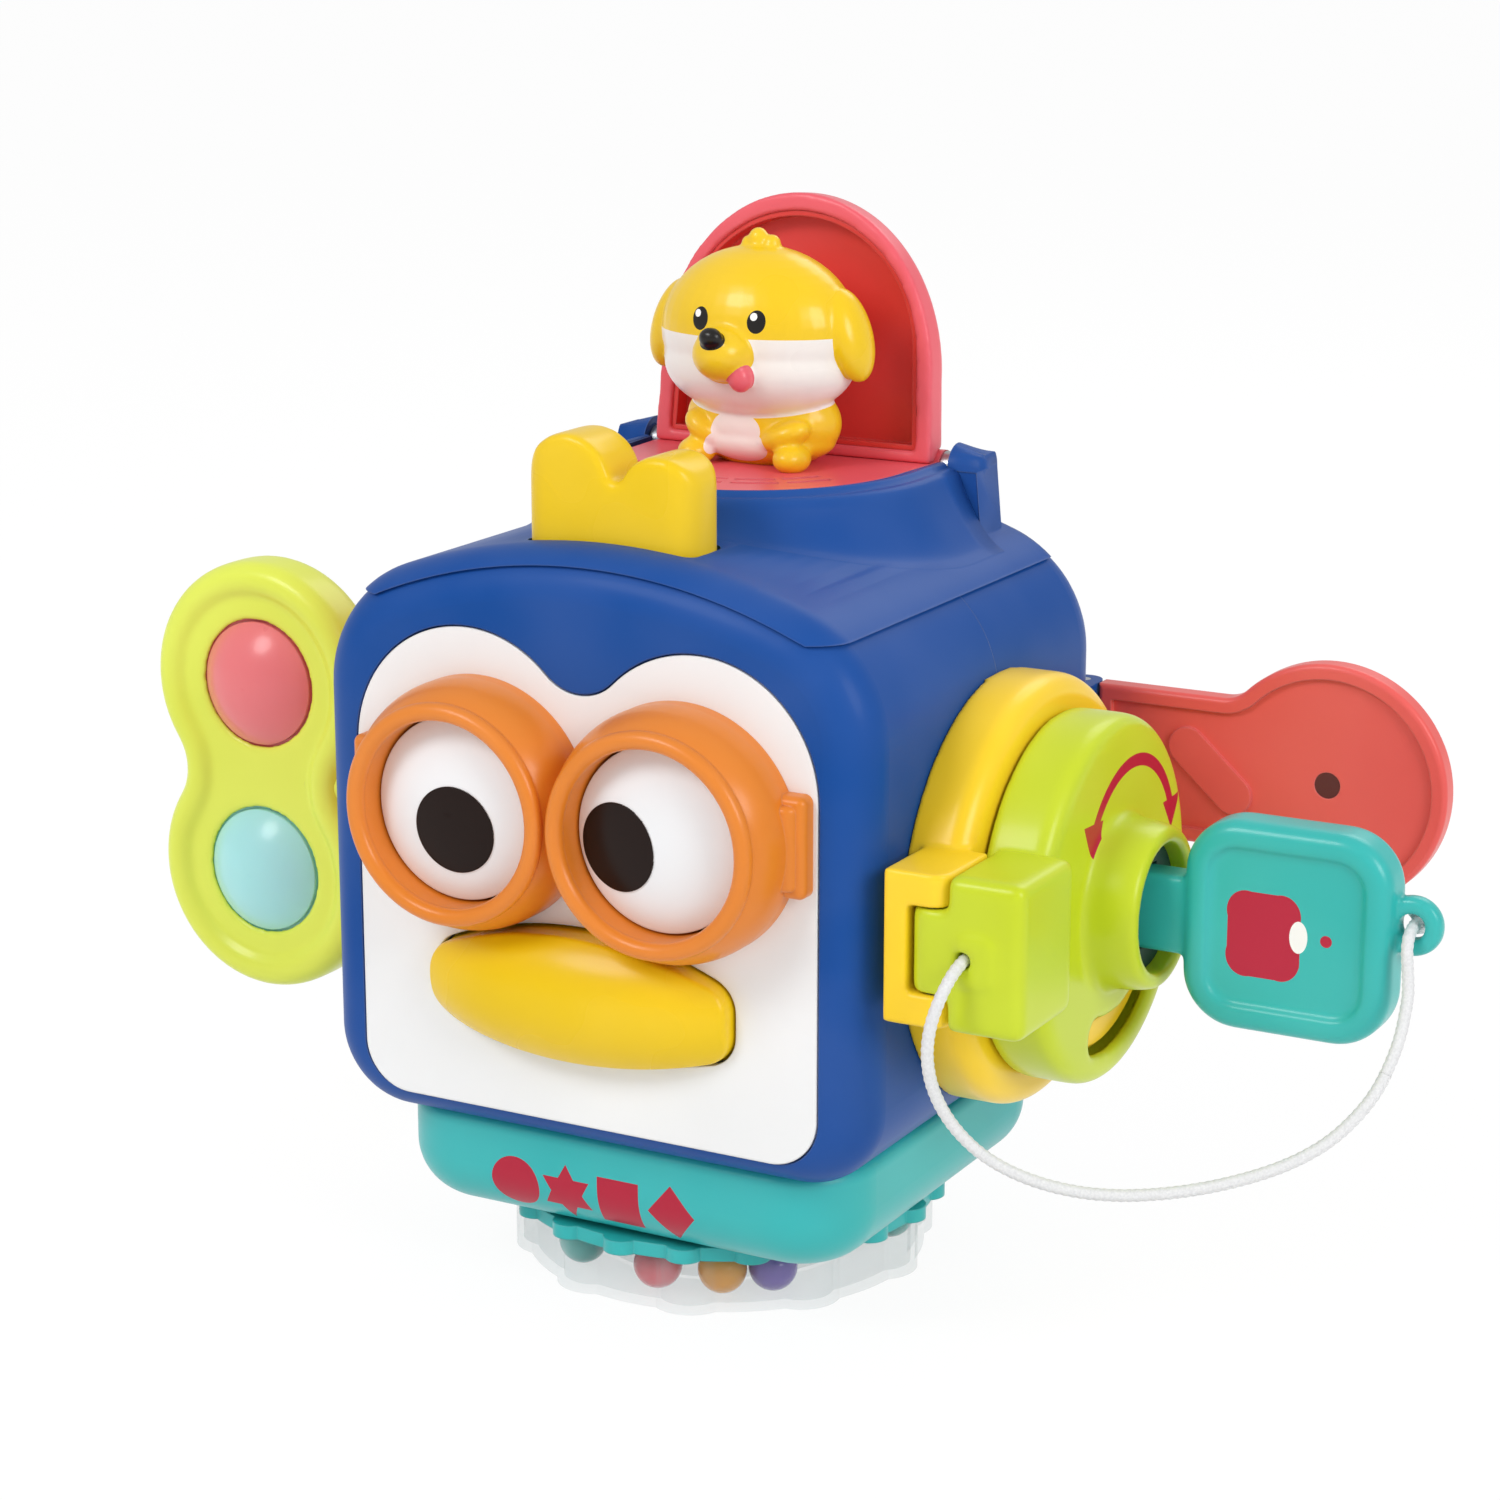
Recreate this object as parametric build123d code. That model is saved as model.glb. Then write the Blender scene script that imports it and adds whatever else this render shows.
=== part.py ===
from build123d import *
import os
from math import asin, cos, radians, sin, sqrt, tan

os.makedirs("parts", exist_ok=True)

# Activity cube for small children: a bird-faced box on a spinning bead drum,
# with a puppy that swings up from the top, a turning paddle with push bubbles,
# a lock with a key on a cord and a folding flap.
# X runs to the object's left as seen by its face, Y runs from the face to the
# back, Z is up, and the origin lies on the floor under the middle of the drum.

# Body
body_width = 134.0
front_depth = 62.0
rear_depth = 58.0
body_height = 130.5
crown_radius = 140.0
shoulder_radius = 28.0
bottom_corner_radius = 18.0
front_edge_radius = 10.0
rear_edge_radius = 14.0
shell_wall = 2.4
front_wall = 4.0
face_gap = 0.3
running_gap = 0.2
cut_overrun = 5.0

# Drum under the body
drum_height = 13.0
drum_wall = 1.6
drum_radius = 46.0
drum_lobes = 10
drum_lobe_radius = 9.0
drum_lobe_reach = 48.5
drum_hub_radius = 32.0
ring_height = 3.2
ring_radius = 48.6
ring_lobes = 20
ring_lobe_radius = 4.2
ring_lobe_reach = 51.0
bead_radius = 5.5
bead_track_radius = 38.3
pivot_radius = 4.0
pivot_head_radius = 7.5
pivot_head_height = 2.2
pivot_grip = 13.5

# Tray that closes the body's underside
tray_half_width = 57.0
tray_half_depth = 54.0
tray_corner_radius = 18.0
tray_height = 24.0
tray_bottom_round = 13.0
tray_top_round = 3.0
tray_boss_radius = 9.0

# Top cover
cover_lip = 0.8
seam_centre_drop = 2.9
seam_side_drop = 13.7
seam_half_width = 52.0
cover_rear_inset = 11.5
collar_width = 5.0
collar_height = 8.2
collar_step = 2.9
collar_edge = 0.9

# Pop-up hatch: one L of lid and floor turning on two pins
hatch_hinge_inset = 21.0
hatch_hinge_rise = 6.5
hatch_half_width = 35.5
hatch_spring_half_width = 34.5
hatch_leg = 20.0
hatch_crown = 37.5
hatch_lean = 5.0
hatch_front_face = 7.0
hatch_back_face = 1.0
hatch_back_round = 2.5
hatch_rim = 4.0
hatch_back_wall = 1.5
hatch_liner_inset = 1.0
liner_wall = 1.2
floor_top = 1.2
floor_thickness = 2.7
hatch_gap = 1.4
hatch_foot = 1.3
hatch_recess = 6.5
hatch_rear = 4.2
hatch_pin_radius = 2.0
hatch_pin_start = 32.2
hatch_pin_end = 46.0
knuckle_start = 31.8
knuckle_radius = 3.6
knuckle_end = 36.0
lug_inner_x = 39.0
lug_outer_x = 47.5
lug_half_depth = 5.5
spring_sleeve_radius = 3.4

# Face plate
plate_half_width = 56.0
plate_bottom_rise = 6.0
plate_top_drop = 18.0
plate_valley_drop = 11.6
plate_lobe_radius = 28.0
plate_corner_radius = 11.0
plate_thickness = 2.0
plate_gap = 0.4
eye_plate_gap = 0.4

# Goggles and eyes
eye_half_spacing = 24.7
eye_drop = 55.0
goggle_inner_radius = 20.4
goggle_rim_radius = 26.3
goggle_base_radius = 27.2
goggle_depth = 16.5
goggle_crease_radius = 24.0
goggle_crease_depth = 13.8
goggle_belly_depth = 9.5
goggle_side_depth = 3.0
goggle_peg_radius = 2.0
strap_half_height = 10.8
strap_drop = 54.4
strap_inner_inset = 10.0
strap_round = 1.8
strap_end_inset = 1.0
strap_depth = 4.2
strap_rib_radius = 2.7
strap_rib_inset = 4.4
eye_radius = 19.9
eye_rim_depth = 8.5
eye_dome_depth = 12.8
eye_back_depth = 0.5
eye_hub_radius = 5.6
eye_pin_radius = 3.5
eye_clip_radius = 7.0
eye_clip_thickness = 2.0
eye_boss_radius = 7.0
eye_boss_length = 4.0
pupil_radius = 9.5
pupil_step = 0.25
look_left = (1.0, -3.7)
look_right = (-9.0, -2.2)

# Beak
beak_half_width = 36.4
beak_top_rise = 50.0
beak_bottom_rise = 22.3
beak_depth = 12.0
beak_round = 1.5
beak_gap = 0.7
beak_flange_width = 1.6
beak_flange_thickness = 1.5
beak_travel = 3.0
bellows_radius = 10.0
bellows_ribs = 4
bellows_rib_depth = 1.5
beak_crown_radius = 84.0
beak_sole_radius = 140.0
beak_corner = 6.8
beak_back_inset = 6.0
beak_dome_half_width = 44.0
beak_dome_half_height = 18.6
beak_dome_depth = 18.0
bridge_setback = 24.0
bridge_half_width = 47.5
bridge_half_height = 9.5
bridge_thickness = 2.6
bridge_leg_radius = 3.0
bridge_leg_x = 44.0

# Top button
button_half_width = 20.1
button_setback = 11.6
button_depth = 14.0
button_hump_height = 24.0
button_valley_height = 17.5
button_seat_drop = 3.0
button_hump_spacing = 11.2
button_hump_radius = 8.9
button_corner_round = 3.6
button_top_round = 2.8
button_travel = 6.0
button_gap = 0.4
button_flange_width = 1.8
button_flange_thickness = 2.0
button_flange_drop = 4.5
button_spring_radius = 5.5
button_spring_wall = 1.2
button_spring_length = 15.0
shelf_thickness = 2.0
shelf_half_width = 20.0
latch_half_width = 4.0
latch_reach = 13.0
latch_thickness = 3.0

# Side turning axis, shared by the paddle on one side and the lock on the other
axle_rise = 54.0

# Red panel and paddle on the body's own right side
panel_thickness = 3.0
panel_half_depth = 38.0
panel_bottom_rise = 14.0
panel_top_drop = 17.5
panel_corner_radius = 16.0
panel_rim = 5.0
panel_recess = 1.0
panel_collar_radius = 14.0
panel_collar_height = 2.5
panel_column_length = 30.0
paddle_stand_off = 58.0
lobe_radius = 29.5
lobe_offset = 23.2
waist_radius = 12.0
paddle_half_thickness = 7.0
paddle_web = 5.7
paddle_rim = 4.6
paddle_edge_round = 4.0
axle_neck_radius = 5.75
axle_neck_inset = 13.0
axle_tip_depth = 7.0
axle_shaft_radius = 4.0
axle_clip_radius = 9.0
axle_clip_thickness = 2.2
bubble_radius = 15.0
bubble_dome = 8.5
bubble_edge = 2.4
bubble_flange_radius = 17.2
bubble_flange_thickness = 2.0
bubble_travel = 6.0
bubble_gap = 0.4

# Lock on the other side
lock_base_radius = 47.0
lock_base_thickness = 13.5
lock_base_round = 5.0
lock_core_inner_radius = 24.0
lock_core_outer_radius = 34.0
lock_core_height = 10.0
door_radius = 40.0
door_thickness = 14.7
door_wall = 3.0
door_edge_round = 3.5
door_boss_radius = 21.5
door_boss_root_radius = 25.0
door_boss_height = 8.5
door_boss_round = 1.6
door_slot_radius = 29.5
door_slot_width = 8.0
door_slot_start = -106.0
door_slot_sweep = 56.0
fork_left = 3.5
fork_right = 17.5
fork_setback = 0.5
fork_depth = 21.5
fork_half_height = 16.2
fork_bar = 7.0
fork_rise = 57.4
lock_base_root = 9.0
door_stand_off = 0.1
door_swing_room = 1.0
door_pin_cap = 1.5
door_knuckle_reach = 7.9
door_hinge_x = 13.1
door_hinge_setback = 4.6
door_pin_radius = 1.5
door_knuckle_radius = 4.1
door_knuckle_gap = 0.4
block_left = 17.7
block_right = 34.5
block_setback = 0.3
block_depth = 25.7
block_half_height = 16.4
block_round = 2.2
tab_left = 20.0
tab_right = 28.2
tab_half_height = 5.4
tab_height = 0.9
tab_round = 2.4
tab_drop = 0.5
cord_hole_x = 21.4
cord_hole_width = 3.6
cord_hole_depth = 5.0
rotor_radius = 13.8
rotor_flange_radius = 17.0
rotor_flange_thickness = 2.6
rotor_front_inset = 1.5
rotor_neck_radius = 3.4
rotor_tongue_half_length = 8.0
rotor_tongue_half_width = 2.5
rotor_tongue_thickness = 3.6
tongue_clearance = 2.0
tongue_start = 5.0
rotor_tail = 6.5
key_gap = 0.3
key_shaft_round = 1.0
tongue_wall = 3.5

# Key
key_shaft_height = 17.0
key_shaft_thickness = 8.8
key_shaft_grip = 12.0
key_bow_size = 45.4
key_bow_thickness = 12.0
key_bow_corner = 12.0
key_bow_round = 3.2
key_bow_start = 45.4
key_dish_inset = 5.5
key_dish_depth = 1.4
key_dish_round = 1.2
key_ring_radius = 6.4
key_ring_bore = 2.8
key_ring_thickness = 4.4
key_ring_rise = 4.4
key_ring_offset = 3.2

# Key cord
cord_diameter = 2.7
cord_route = (
    (21.4, 67.0, 56.4),
    (17.0, 70.5, 41.0),
    (19.0, 66.0, 25.5),
    (29.0, 60.0, 13.5),
    (46.0, 51.0, 7.5),
    (66.0, 40.0, 9.0),
    (84.0, 29.0, 15.5),
    (93.5, 21.0, 26.0),
    (96.4, 14.2, 36.5),
)
tail_start = (96.0, 8.5, 43.5)
tail_route = (
    (95.4, 5.7, 47.0),
    (94.2, 5.9, 58.4),
)
tail_gap = 0.2
cord_bend_share = 0.45
knot_radius = 3.3
knot_flat_radius = 2.2

# Rear flap
flap_thickness = 6.0
flap_back_gap = 1.0
flap_hinge_inset = 6.8
flap_rise = 68.3
flap_reach = 60.1
flap_lug_root = 8.0
flap_half_height = 17.3
flap_disc_radius = 27.8
flap_fillet = 8.0
flap_rim = 3.4
flap_recess = 1.2
flap_hole_radius = 3.0
flap_peg_radius = 2.6
flap_peg_length = 5.0
flap_edge_round = 1.2
flap_knuckle_radius = 4.2
flap_knuckle_half_height = 8.0
flap_pin_radius = 1.5
flap_root_gap = 0.5
flap_bar_length = 24.0
flap_bar_width = 9.0
flap_bar_tilt = -42.0
flap_bar_height = 0.8
flap_bar_x = 25.5

# Screws
screw_boss_radius = 4.5
screw_head_radius = 3.0
screw_head_height = 2.2
screw_shank_radius = 1.5
screw_grip = 12.0
screw_clear_radius = 1.8
screw_recess_radius = 3.6
screw_low_inset = 17.0
screw_high_inset = 21.0
screw_seat_y = 8.0
screw_low_rise = 20.0
screw_high_drop = 23.5
tray_screw_x = 30.0
tray_screw_y = 27.0
tray_screw_seat = 6.0

# Puppy
puppy_hinge_gap = 20.7
head_half_width = 24.0
head_half_depth = 17.0
head_half_height = 17.6
head_rise = 31.4
trunk_half_width = 15.5
trunk_half_depth = 12.5
trunk_height = 22.0
trunk_top_round = 6.0
trunk_bottom_round = 3.0
muzzle_radius = 6.6
muzzle_forward = 15.0
muzzle_rise = 27.6
nose_half_width = 2.4
nose_half_depth = 1.9
nose_half_height = 2.1
nose_forward = 20.6
nose_rise = 30.8
ear_half_width = 4.4
ear_half_depth = 5.6
ear_half_height = 11.4
ear_side = 23.1
ear_rise = 34.6
ear_tilt = 14.0
tuft_back = 2.5
tuft_lobes = ((0.0, 0.8, 2.3), (-2.6, 0.0, 1.9), (2.6, 0.2, 1.9))
arm_half_length = 8.2
arm_radius = 4.0
arm_side = 14.4
arm_forward = 6.5
arm_rise = 11.4
arm_tilt = 12.0
arm_pitch = -20.0
foot_radius = 4.6
foot_half_length = 7.0
foot_side = 14.4
foot_forward = 8.6
foot_sink = 1.6
floor_slot_width = 1.5
floor_slot_sweep = 22.0
floor_slots = {
    23.0: (-142, -116, -90, -64, -38),
    27.5: (-142, -116, -90, -64, -38),
}

# Places worked out from the sizes above
half_width = body_width / 2
tray_bottom_z = drum_height + ring_height + face_gap
body_bottom_z = tray_bottom_z + tray_height
body_top_z = body_bottom_z + body_height
axle_z = body_bottom_z + axle_rise
eye_z = body_top_z - eye_drop
hatch_z = body_top_z + hatch_hinge_rise
hatch_hinge_y = rear_depth - hatch_hinge_inset
cover_rear_y = rear_depth - cover_rear_inset
bridge_front_y = bridge_setback - front_depth
button_front_y = button_setback - front_depth
fork_front_y = fork_setback - front_depth
fork_rear_y = fork_front_y + fork_depth
door_hinge_y = door_hinge_setback - front_depth
block_front_y = block_setback - front_depth
block_rear_y = block_front_y + block_depth
paddle_centre_x = -half_width - paddle_stand_off
axle_tip_x = axle_tip_depth - half_width
flap_hinge_x = half_width - flap_hinge_inset
flap_disc_x = flap_hinge_x + flap_reach
flap_lug_root_y = rear_depth - flap_lug_root
puppy_centre_y = hatch_hinge_y - puppy_hinge_gap
collar_top_z = body_top_z + collar_height
middle = (Align.CENTER, Align.CENTER, Align.MIN)


# Helpers
def front_plane(y):
    """Plane facing the viewer at depth y; local axes are X and Z."""
    return Plane.XZ.offset(-y)


def side_plane(x):
    """Plane facing +X at x; local axes are Y and Z."""
    return Plane.YZ.offset(x)


def rod(start, direction, radius, length):
    """Round bar that starts at a point and runs along a direction."""
    return Plane(origin=start, z_dir=direction) * Cylinder(radius, length, align=middle)


def block(low, high):
    """Box between two corners."""
    size = [b - a for a, b in zip(low, high)]
    return Pos(*low) * Box(*size, align=(Align.MIN, Align.MIN, Align.MIN))


def egg(centre, half_x, half_y, half_z):
    """Ellipsoid with the given half sizes."""
    ball = Solid.make_sphere(1.0)
    return Pos(*centre) * scale(ball, by=(half_x, half_y, half_z))


def save(name, shape):
    export_step(shape, f"parts/{name}.step")


# Outer form of the body
def body_outline(offset):
    """Face view: flat bottom, straight sides, round shoulders, crowned top."""
    half = half_width + offset
    crown = crown_radius + offset
    shoulder = shoulder_radius + offset
    corner = bottom_corner_radius + offset
    top = body_top_z + offset
    bottom = body_bottom_z - offset
    crown_z = top - crown
    shoulder_x = half - shoulder
    shoulder_z = crown_z + sqrt((crown - shoulder) ** 2 - shoulder_x ** 2)
    lean = Vector(shoulder_x, shoulder_z - crown_z) / (crown - shoulder)
    join = Vector(0, crown_z) + lean * crown
    bend = (lean + Vector(1, 0)).normalized() * shoulder
    turn = corner * (1 - sin(radians(45)))
    right = [
        Line((0, bottom), (half - corner, bottom)),
        ThreePointArc((half - corner, bottom), (half - turn, bottom + turn), (half, bottom + corner)),
        Line((half, bottom + corner), (half, shoulder_z)),
        ThreePointArc((half, shoulder_z), (shoulder_x + bend.X, shoulder_z + bend.Y), (join.X, join.Y)),
    ]
    left = [edge.mirror(Plane.YZ) for edge in right]
    crown_arc = ThreePointArc((join.X, join.Y), (0, top), (-join.X, join.Y))
    return make_face(right + [crown_arc] + left)


def body_form(offset):
    """Solid body with rounded front and rear edges, grown by an offset."""
    front = front_depth + offset
    rear = rear_depth + offset
    form = extrude(front_plane(rear) * body_outline(offset), amount=front + rear)
    front_loop = form.faces().sort_by(Axis.Y)[0].edges()
    rear_loop = form.faces().sort_by(Axis.Y)[-1].edges()
    form = fillet(front_loop, front_edge_radius + offset)
    rear_loop = form.faces().sort_by(Axis.Y)[-1].edges()
    return fillet(rear_loop, rear_edge_radius + offset)


def turned(profile, place):
    """Solid of revolution; the profile holds radius and height pairs."""
    points = [(0, profile[0][1])] + list(profile) + [(0, profile[-1][1])]
    face = Plane.XZ * make_face(Polyline(*points, close=True))
    return place * revolve(face, Axis.Z)


def dome_arc(radius, low, high):
    """Arc of a sphere cap from its edge to its top, in radius and height."""
    rise = high - low
    sphere = (radius ** 2 + rise ** 2) / (2 * rise)
    half_angle = asin(radius / sphere) / 2
    mid = (sphere * sin(half_angle), high - sphere * (1 - cos(half_angle)))
    return ThreePointArc((radius, low), mid, (0, high))


def facing_front(x, z, y=-front_depth):
    """Place whose local Z axis points out of the face, towards -Y."""
    return Plane(origin=(x, y, z), x_dir=(1, 0, 0), z_dir=(0, -1, 0))


def ring_shape(inner, outer, height):
    return Cylinder(outer, height, align=middle) - Cylinder(inner, height, align=middle)


# Spinning drum with its beads
def scalloped(base_radius, lobes, lobe_radius, reach, height):
    """Disc whose rim carries round lobes."""
    lobe = Pos(reach - lobe_radius, 0) * Circle(lobe_radius)
    face = Circle(base_radius) + [Rot(Z=index * 360 / lobes) * lobe for index in range(lobes)]
    return extrude(face, amount=height)


spinner_ring = Pos(0, 0, drum_height) * (
    scalloped(ring_radius, ring_lobes, ring_lobe_radius, ring_lobe_reach, ring_height)
    - Cylinder(pivot_radius + running_gap / 2, ring_height, align=middle)
)
drum_shell = scalloped(drum_radius, drum_lobes, drum_lobe_radius, drum_lobe_reach, drum_height)
drum_inside = scalloped(
    drum_radius - drum_wall, drum_lobes, drum_lobe_radius - drum_wall, drum_lobe_reach - drum_wall, drum_height
)
drum_hub = ring_shape(drum_hub_radius - drum_wall, drum_hub_radius, drum_height)
spinner_drum = drum_shell - Pos(0, 0, drum_wall) * (drum_inside - drum_hub)
bead_angles = {
    "teal": (-118, 20),
    "coral": (-84, 75),
    "amber": (-62, 130),
    "violet": (-45, 175),
}
for colour, angles in bead_angles.items():
    beads = [
        Rot(Z=angle) * Pos(bead_track_radius, 0, drum_wall + bead_radius) * Sphere(bead_radius)
        for angle in angles
    ]
    save(f"beads_{colour}", Compound(beads))
pivot_top_z = tray_bottom_z + pivot_grip
spinner_pivot = (
    Pos(0, 0, drum_height - pivot_head_height - running_gap)
    * Cylinder(pivot_head_radius, pivot_head_height, align=middle)
    + rod((0, 0, drum_height - running_gap), (0, 0, 1), pivot_radius, pivot_top_z - drum_height + running_gap)
)
save("spinner_ring", spinner_ring)
save("spinner_drum", spinner_drum)
save("spinner_pivot", spinner_pivot)

# Tray
tray_outline = RectangleRounded(2 * tray_half_width, 2 * tray_half_depth, tray_corner_radius)
tray = Pos(0, 0, tray_bottom_z) * extrude(tray_outline, amount=tray_height)
tray = fillet(tray.faces().sort_by(Axis.Z)[0].edges(), tray_bottom_round)
tray = fillet(tray.faces().sort_by(Axis.Z)[-1].edges(), tray_top_round)
tray_inside = Pos(0, 0, tray_bottom_z + shell_wall) * extrude(
    RectangleRounded(
        2 * (tray_half_width - tray_top_round - shell_wall),
        2 * (tray_half_depth - tray_top_round - shell_wall),
        tray_corner_radius - tray_top_round,
    ),
    amount=tray_height,
)
tray_inside = fillet(tray_inside.faces().sort_by(Axis.Z)[0].edges(), tray_bottom_round - shell_wall)
tray = tray - tray_inside
seat_z = tray_bottom_z + tray_screw_seat
tray_screw_places = [
    (x, y) for x in (-tray_screw_x, tray_screw_x) for y in (-tray_screw_y, tray_screw_y)
]
tray_screws = []
for x, y in tray_screw_places:
    tray = tray + rod((x, y, tray_bottom_z), (0, 0, 1), screw_boss_radius, tray_height)
    tray = tray - rod((x, y, tray_bottom_z), (0, 0, 1), screw_recess_radius, tray_screw_seat)
    tray = tray - rod((x, y, tray_bottom_z), (0, 0, 1), screw_clear_radius, tray_height)
    tray_screws.append(
        rod((x, y, seat_z - screw_head_height), (0, 0, 1), screw_head_radius, screw_head_height)
        + rod((x, y, seat_z), (0, 0, 1), screw_shank_radius, body_bottom_z + screw_grip - seat_z)
    )
tray = tray + rod((0, 0, tray_bottom_z), (0, 0, 1), tray_boss_radius, pivot_grip + shell_wall)
tray = tray - rod((0, 0, tray_bottom_z), (0, 0, 1), pivot_radius, pivot_grip)
save("base_tray", tray)
save("base_screws", Compound(tray_screws))

# Region of the top cover and the two body shells
seam_top_z = body_top_z - seam_centre_drop
seam_side_z = body_top_z - seam_side_drop
far_x = half_width + cut_overrun
sky_z = body_top_z + cut_overrun
seam_face = make_face([
    ThreePointArc((-seam_half_width, seam_side_z), (0, seam_top_z), (seam_half_width, seam_side_z)),
    Polyline(
        (seam_half_width, seam_side_z), (far_x, seam_side_z), (far_x, sky_z),
        (-far_x, sky_z), (-far_x, seam_side_z), (-seam_half_width, seam_side_z),
    ),
])
cover_zone = extrude(
    front_plane(cover_rear_y) * seam_face, amount=cover_rear_y + front_depth + cut_overrun
)
outer_form = body_form(0)
inner_form = body_form(-shell_wall)
inner_front_y = -front_depth + front_wall
cavity = inner_form & block(
    (-far_x, inner_front_y, body_bottom_z), (far_x, rear_depth, body_top_z)
)
shell = outer_form - cavity - cover_zone

# Lobed face plate and the rebate that holds it
plate_bottom_z = body_bottom_z + plate_bottom_rise
lobe_x = plate_half_width - plate_lobe_radius
lobe_z = body_top_z - plate_top_drop - plate_lobe_radius
valley_rise = plate_lobe_radius - plate_valley_drop
notch_radius = valley_rise ** 2 / (2 * (plate_lobe_radius - valley_rise))


def plate_outline(offset):
    """Two round lobes over a square foot with rounded corners."""
    half = plate_half_width + offset
    bottom = plate_bottom_z - offset
    corner = plate_corner_radius + offset
    lobe = plate_lobe_radius + offset
    to_notch = Vector(-lobe_x, valley_rise + notch_radius).normalized()
    join = Vector(lobe_x, lobe_z) + to_notch * lobe
    over = Vector(lobe_x, lobe_z) + (to_notch + Vector(1, 0)).normalized() * lobe
    turn = corner * (1 - sin(radians(45)))
    right = [
        Line((0, bottom), (half - corner, bottom)),
        ThreePointArc((half - corner, bottom), (half - turn, bottom + turn), (half, bottom + corner)),
        Line((half, bottom + corner), (half, lobe_z)),
        ThreePointArc((half, lobe_z), (over.X, over.Y), (join.X, join.Y)),
    ]
    left = [edge.mirror(Plane.YZ) for edge in right]
    notch = ThreePointArc((join.X, join.Y), (0, lobe_z + valley_rise + offset), (-join.X, join.Y))
    return make_face(right + [notch] + left)


def beak_outline(offset):
    """Two arcs over each other with rounded ends."""
    half = beak_half_width + offset
    top = body_bottom_z + beak_top_rise + offset
    bottom = body_bottom_z + beak_bottom_rise - offset
    crown = beak_crown_radius + offset
    sole = beak_sole_radius + offset
    upper_z = top - crown + sqrt(crown ** 2 - half ** 2)
    lower_z = bottom + sole - sqrt(sole ** 2 - half ** 2)
    face = make_face([
        ThreePointArc((half, upper_z), (0, top), (-half, upper_z)),
        Line((-half, upper_z), (-half, lower_z)),
        ThreePointArc((-half, lower_z), (0, bottom), (half, lower_z)),
        Line((half, lower_z), (half, upper_z)),
    ])
    return fillet(face.vertices(), beak_corner + offset)


plate_back_y = -front_depth + plate_thickness
plate_hole_tools = [
    facing_front(side * eye_half_spacing, eye_z, plate_back_y)
    * Cylinder(eye_radius + eye_plate_gap, plate_thickness, align=middle)
    for side in (-1, 1)
]
beak_opening = extrude(front_plane(inner_front_y) * beak_outline(beak_gap), amount=front_wall)
face_plate = extrude(front_plane(plate_back_y) * plate_outline(0), amount=plate_thickness)
face_plate = face_plate - plate_hole_tools - beak_opening
rebate = extrude(front_plane(plate_back_y) * plate_outline(plate_gap), amount=plate_thickness)

# Goggles: two rings with a strap end at each side
rim_middle = (goggle_inner_radius + goggle_crease_radius) / 2
goggle_profile = Plane.XZ * make_face([
    Polyline(
        (goggle_inner_radius, goggle_crease_depth), (goggle_inner_radius, 0),
        (goggle_base_radius, 0), (goggle_base_radius, goggle_side_depth),
    ),
    ThreePointArc(
        (goggle_base_radius, goggle_side_depth), (goggle_rim_radius, goggle_belly_depth),
        (goggle_crease_radius, goggle_crease_depth),
    ),
    ThreePointArc(
        (goggle_crease_radius, goggle_crease_depth), (rim_middle, goggle_depth),
        (goggle_inner_radius, goggle_crease_depth),
    ),
])
goggle_ring = revolve(goggle_profile, Axis.Z)
strap_z = body_top_z - strap_drop
strap_reach = plate_half_width - strap_end_inset
goggle_frame = None
peg_places = []
peg_reach = (goggle_inner_radius + goggle_base_radius) / 2
for side in (-1, 1):
    ring = facing_front(side * eye_half_spacing, eye_z) * goggle_ring
    goggle_frame = ring if goggle_frame is None else goggle_frame + ring
    for lift in (-1, 1):
        peg_places.append((side * eye_half_spacing, eye_z + lift * peg_reach))
for side in (-1, 1):
    near, far = sorted((side * (plate_half_width - strap_inner_inset), side * strap_reach))
    strap = block(
        (near, -front_depth - strap_depth, strap_z - strap_half_height),
        (far, -front_depth, strap_z + strap_half_height),
    )
    outer_edges = strap.edges().filter_by(lambda e: e.center().Y < -front_depth - strap_round)
    strap = fillet(outer_edges, strap_round)
    rib_x = side * (strap_reach - strap_rib_inset)
    rib = rod(
        (rib_x, -front_depth - strap_depth + strap_round / 2, strap_z - strap_half_height + strap_round),
        (0, 0, 1), strap_rib_radius, 2 * (strap_half_height - strap_round),
    )
    strap = strap + fillet(rib.edges().filter_by(GeomType.CIRCLE), strap_rib_radius / 2)
    eye_well = facing_front(side * eye_half_spacing, eye_z) * Cylinder(
        goggle_rim_radius - strap_round / 2, goggle_depth, align=middle
    )
    goggle_frame = goggle_frame + (strap - eye_well)
goggle_pegs = [
    rod((x, -front_depth - goggle_peg_radius, z), (0, 1, 0), goggle_peg_radius,
        front_wall + goggle_peg_radius)
    for x, z in peg_places
]
goggle_frame = goggle_frame + goggle_pegs
peg_holes = [rod((x, -front_depth, z), (0, 1, 0), goggle_peg_radius, front_wall) for x, z in peg_places]
face_plate = face_plate - peg_holes
save("goggle_frame", goggle_frame)
save("face_plate", face_plate)

# Eyes: domed discs on spindles that turn in the front wall
eye_hub_back = -plate_thickness + running_gap
eye_pin_back = -front_wall - eye_boss_length - running_gap - eye_clip_thickness


def eye_disc(raise_by):
    """Disc with a domed front, its back at the eye's back plane."""
    face = Plane.XZ * make_face([
        Polyline(
            (0, eye_dome_depth + raise_by), (0, eye_back_depth),
            (eye_radius, eye_back_depth), (eye_radius, eye_rim_depth + raise_by),
        ),
        dome_arc(eye_radius, eye_rim_depth + raise_by, eye_dome_depth + raise_by),
    ])
    return revolve(face, Axis.Z)


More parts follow.
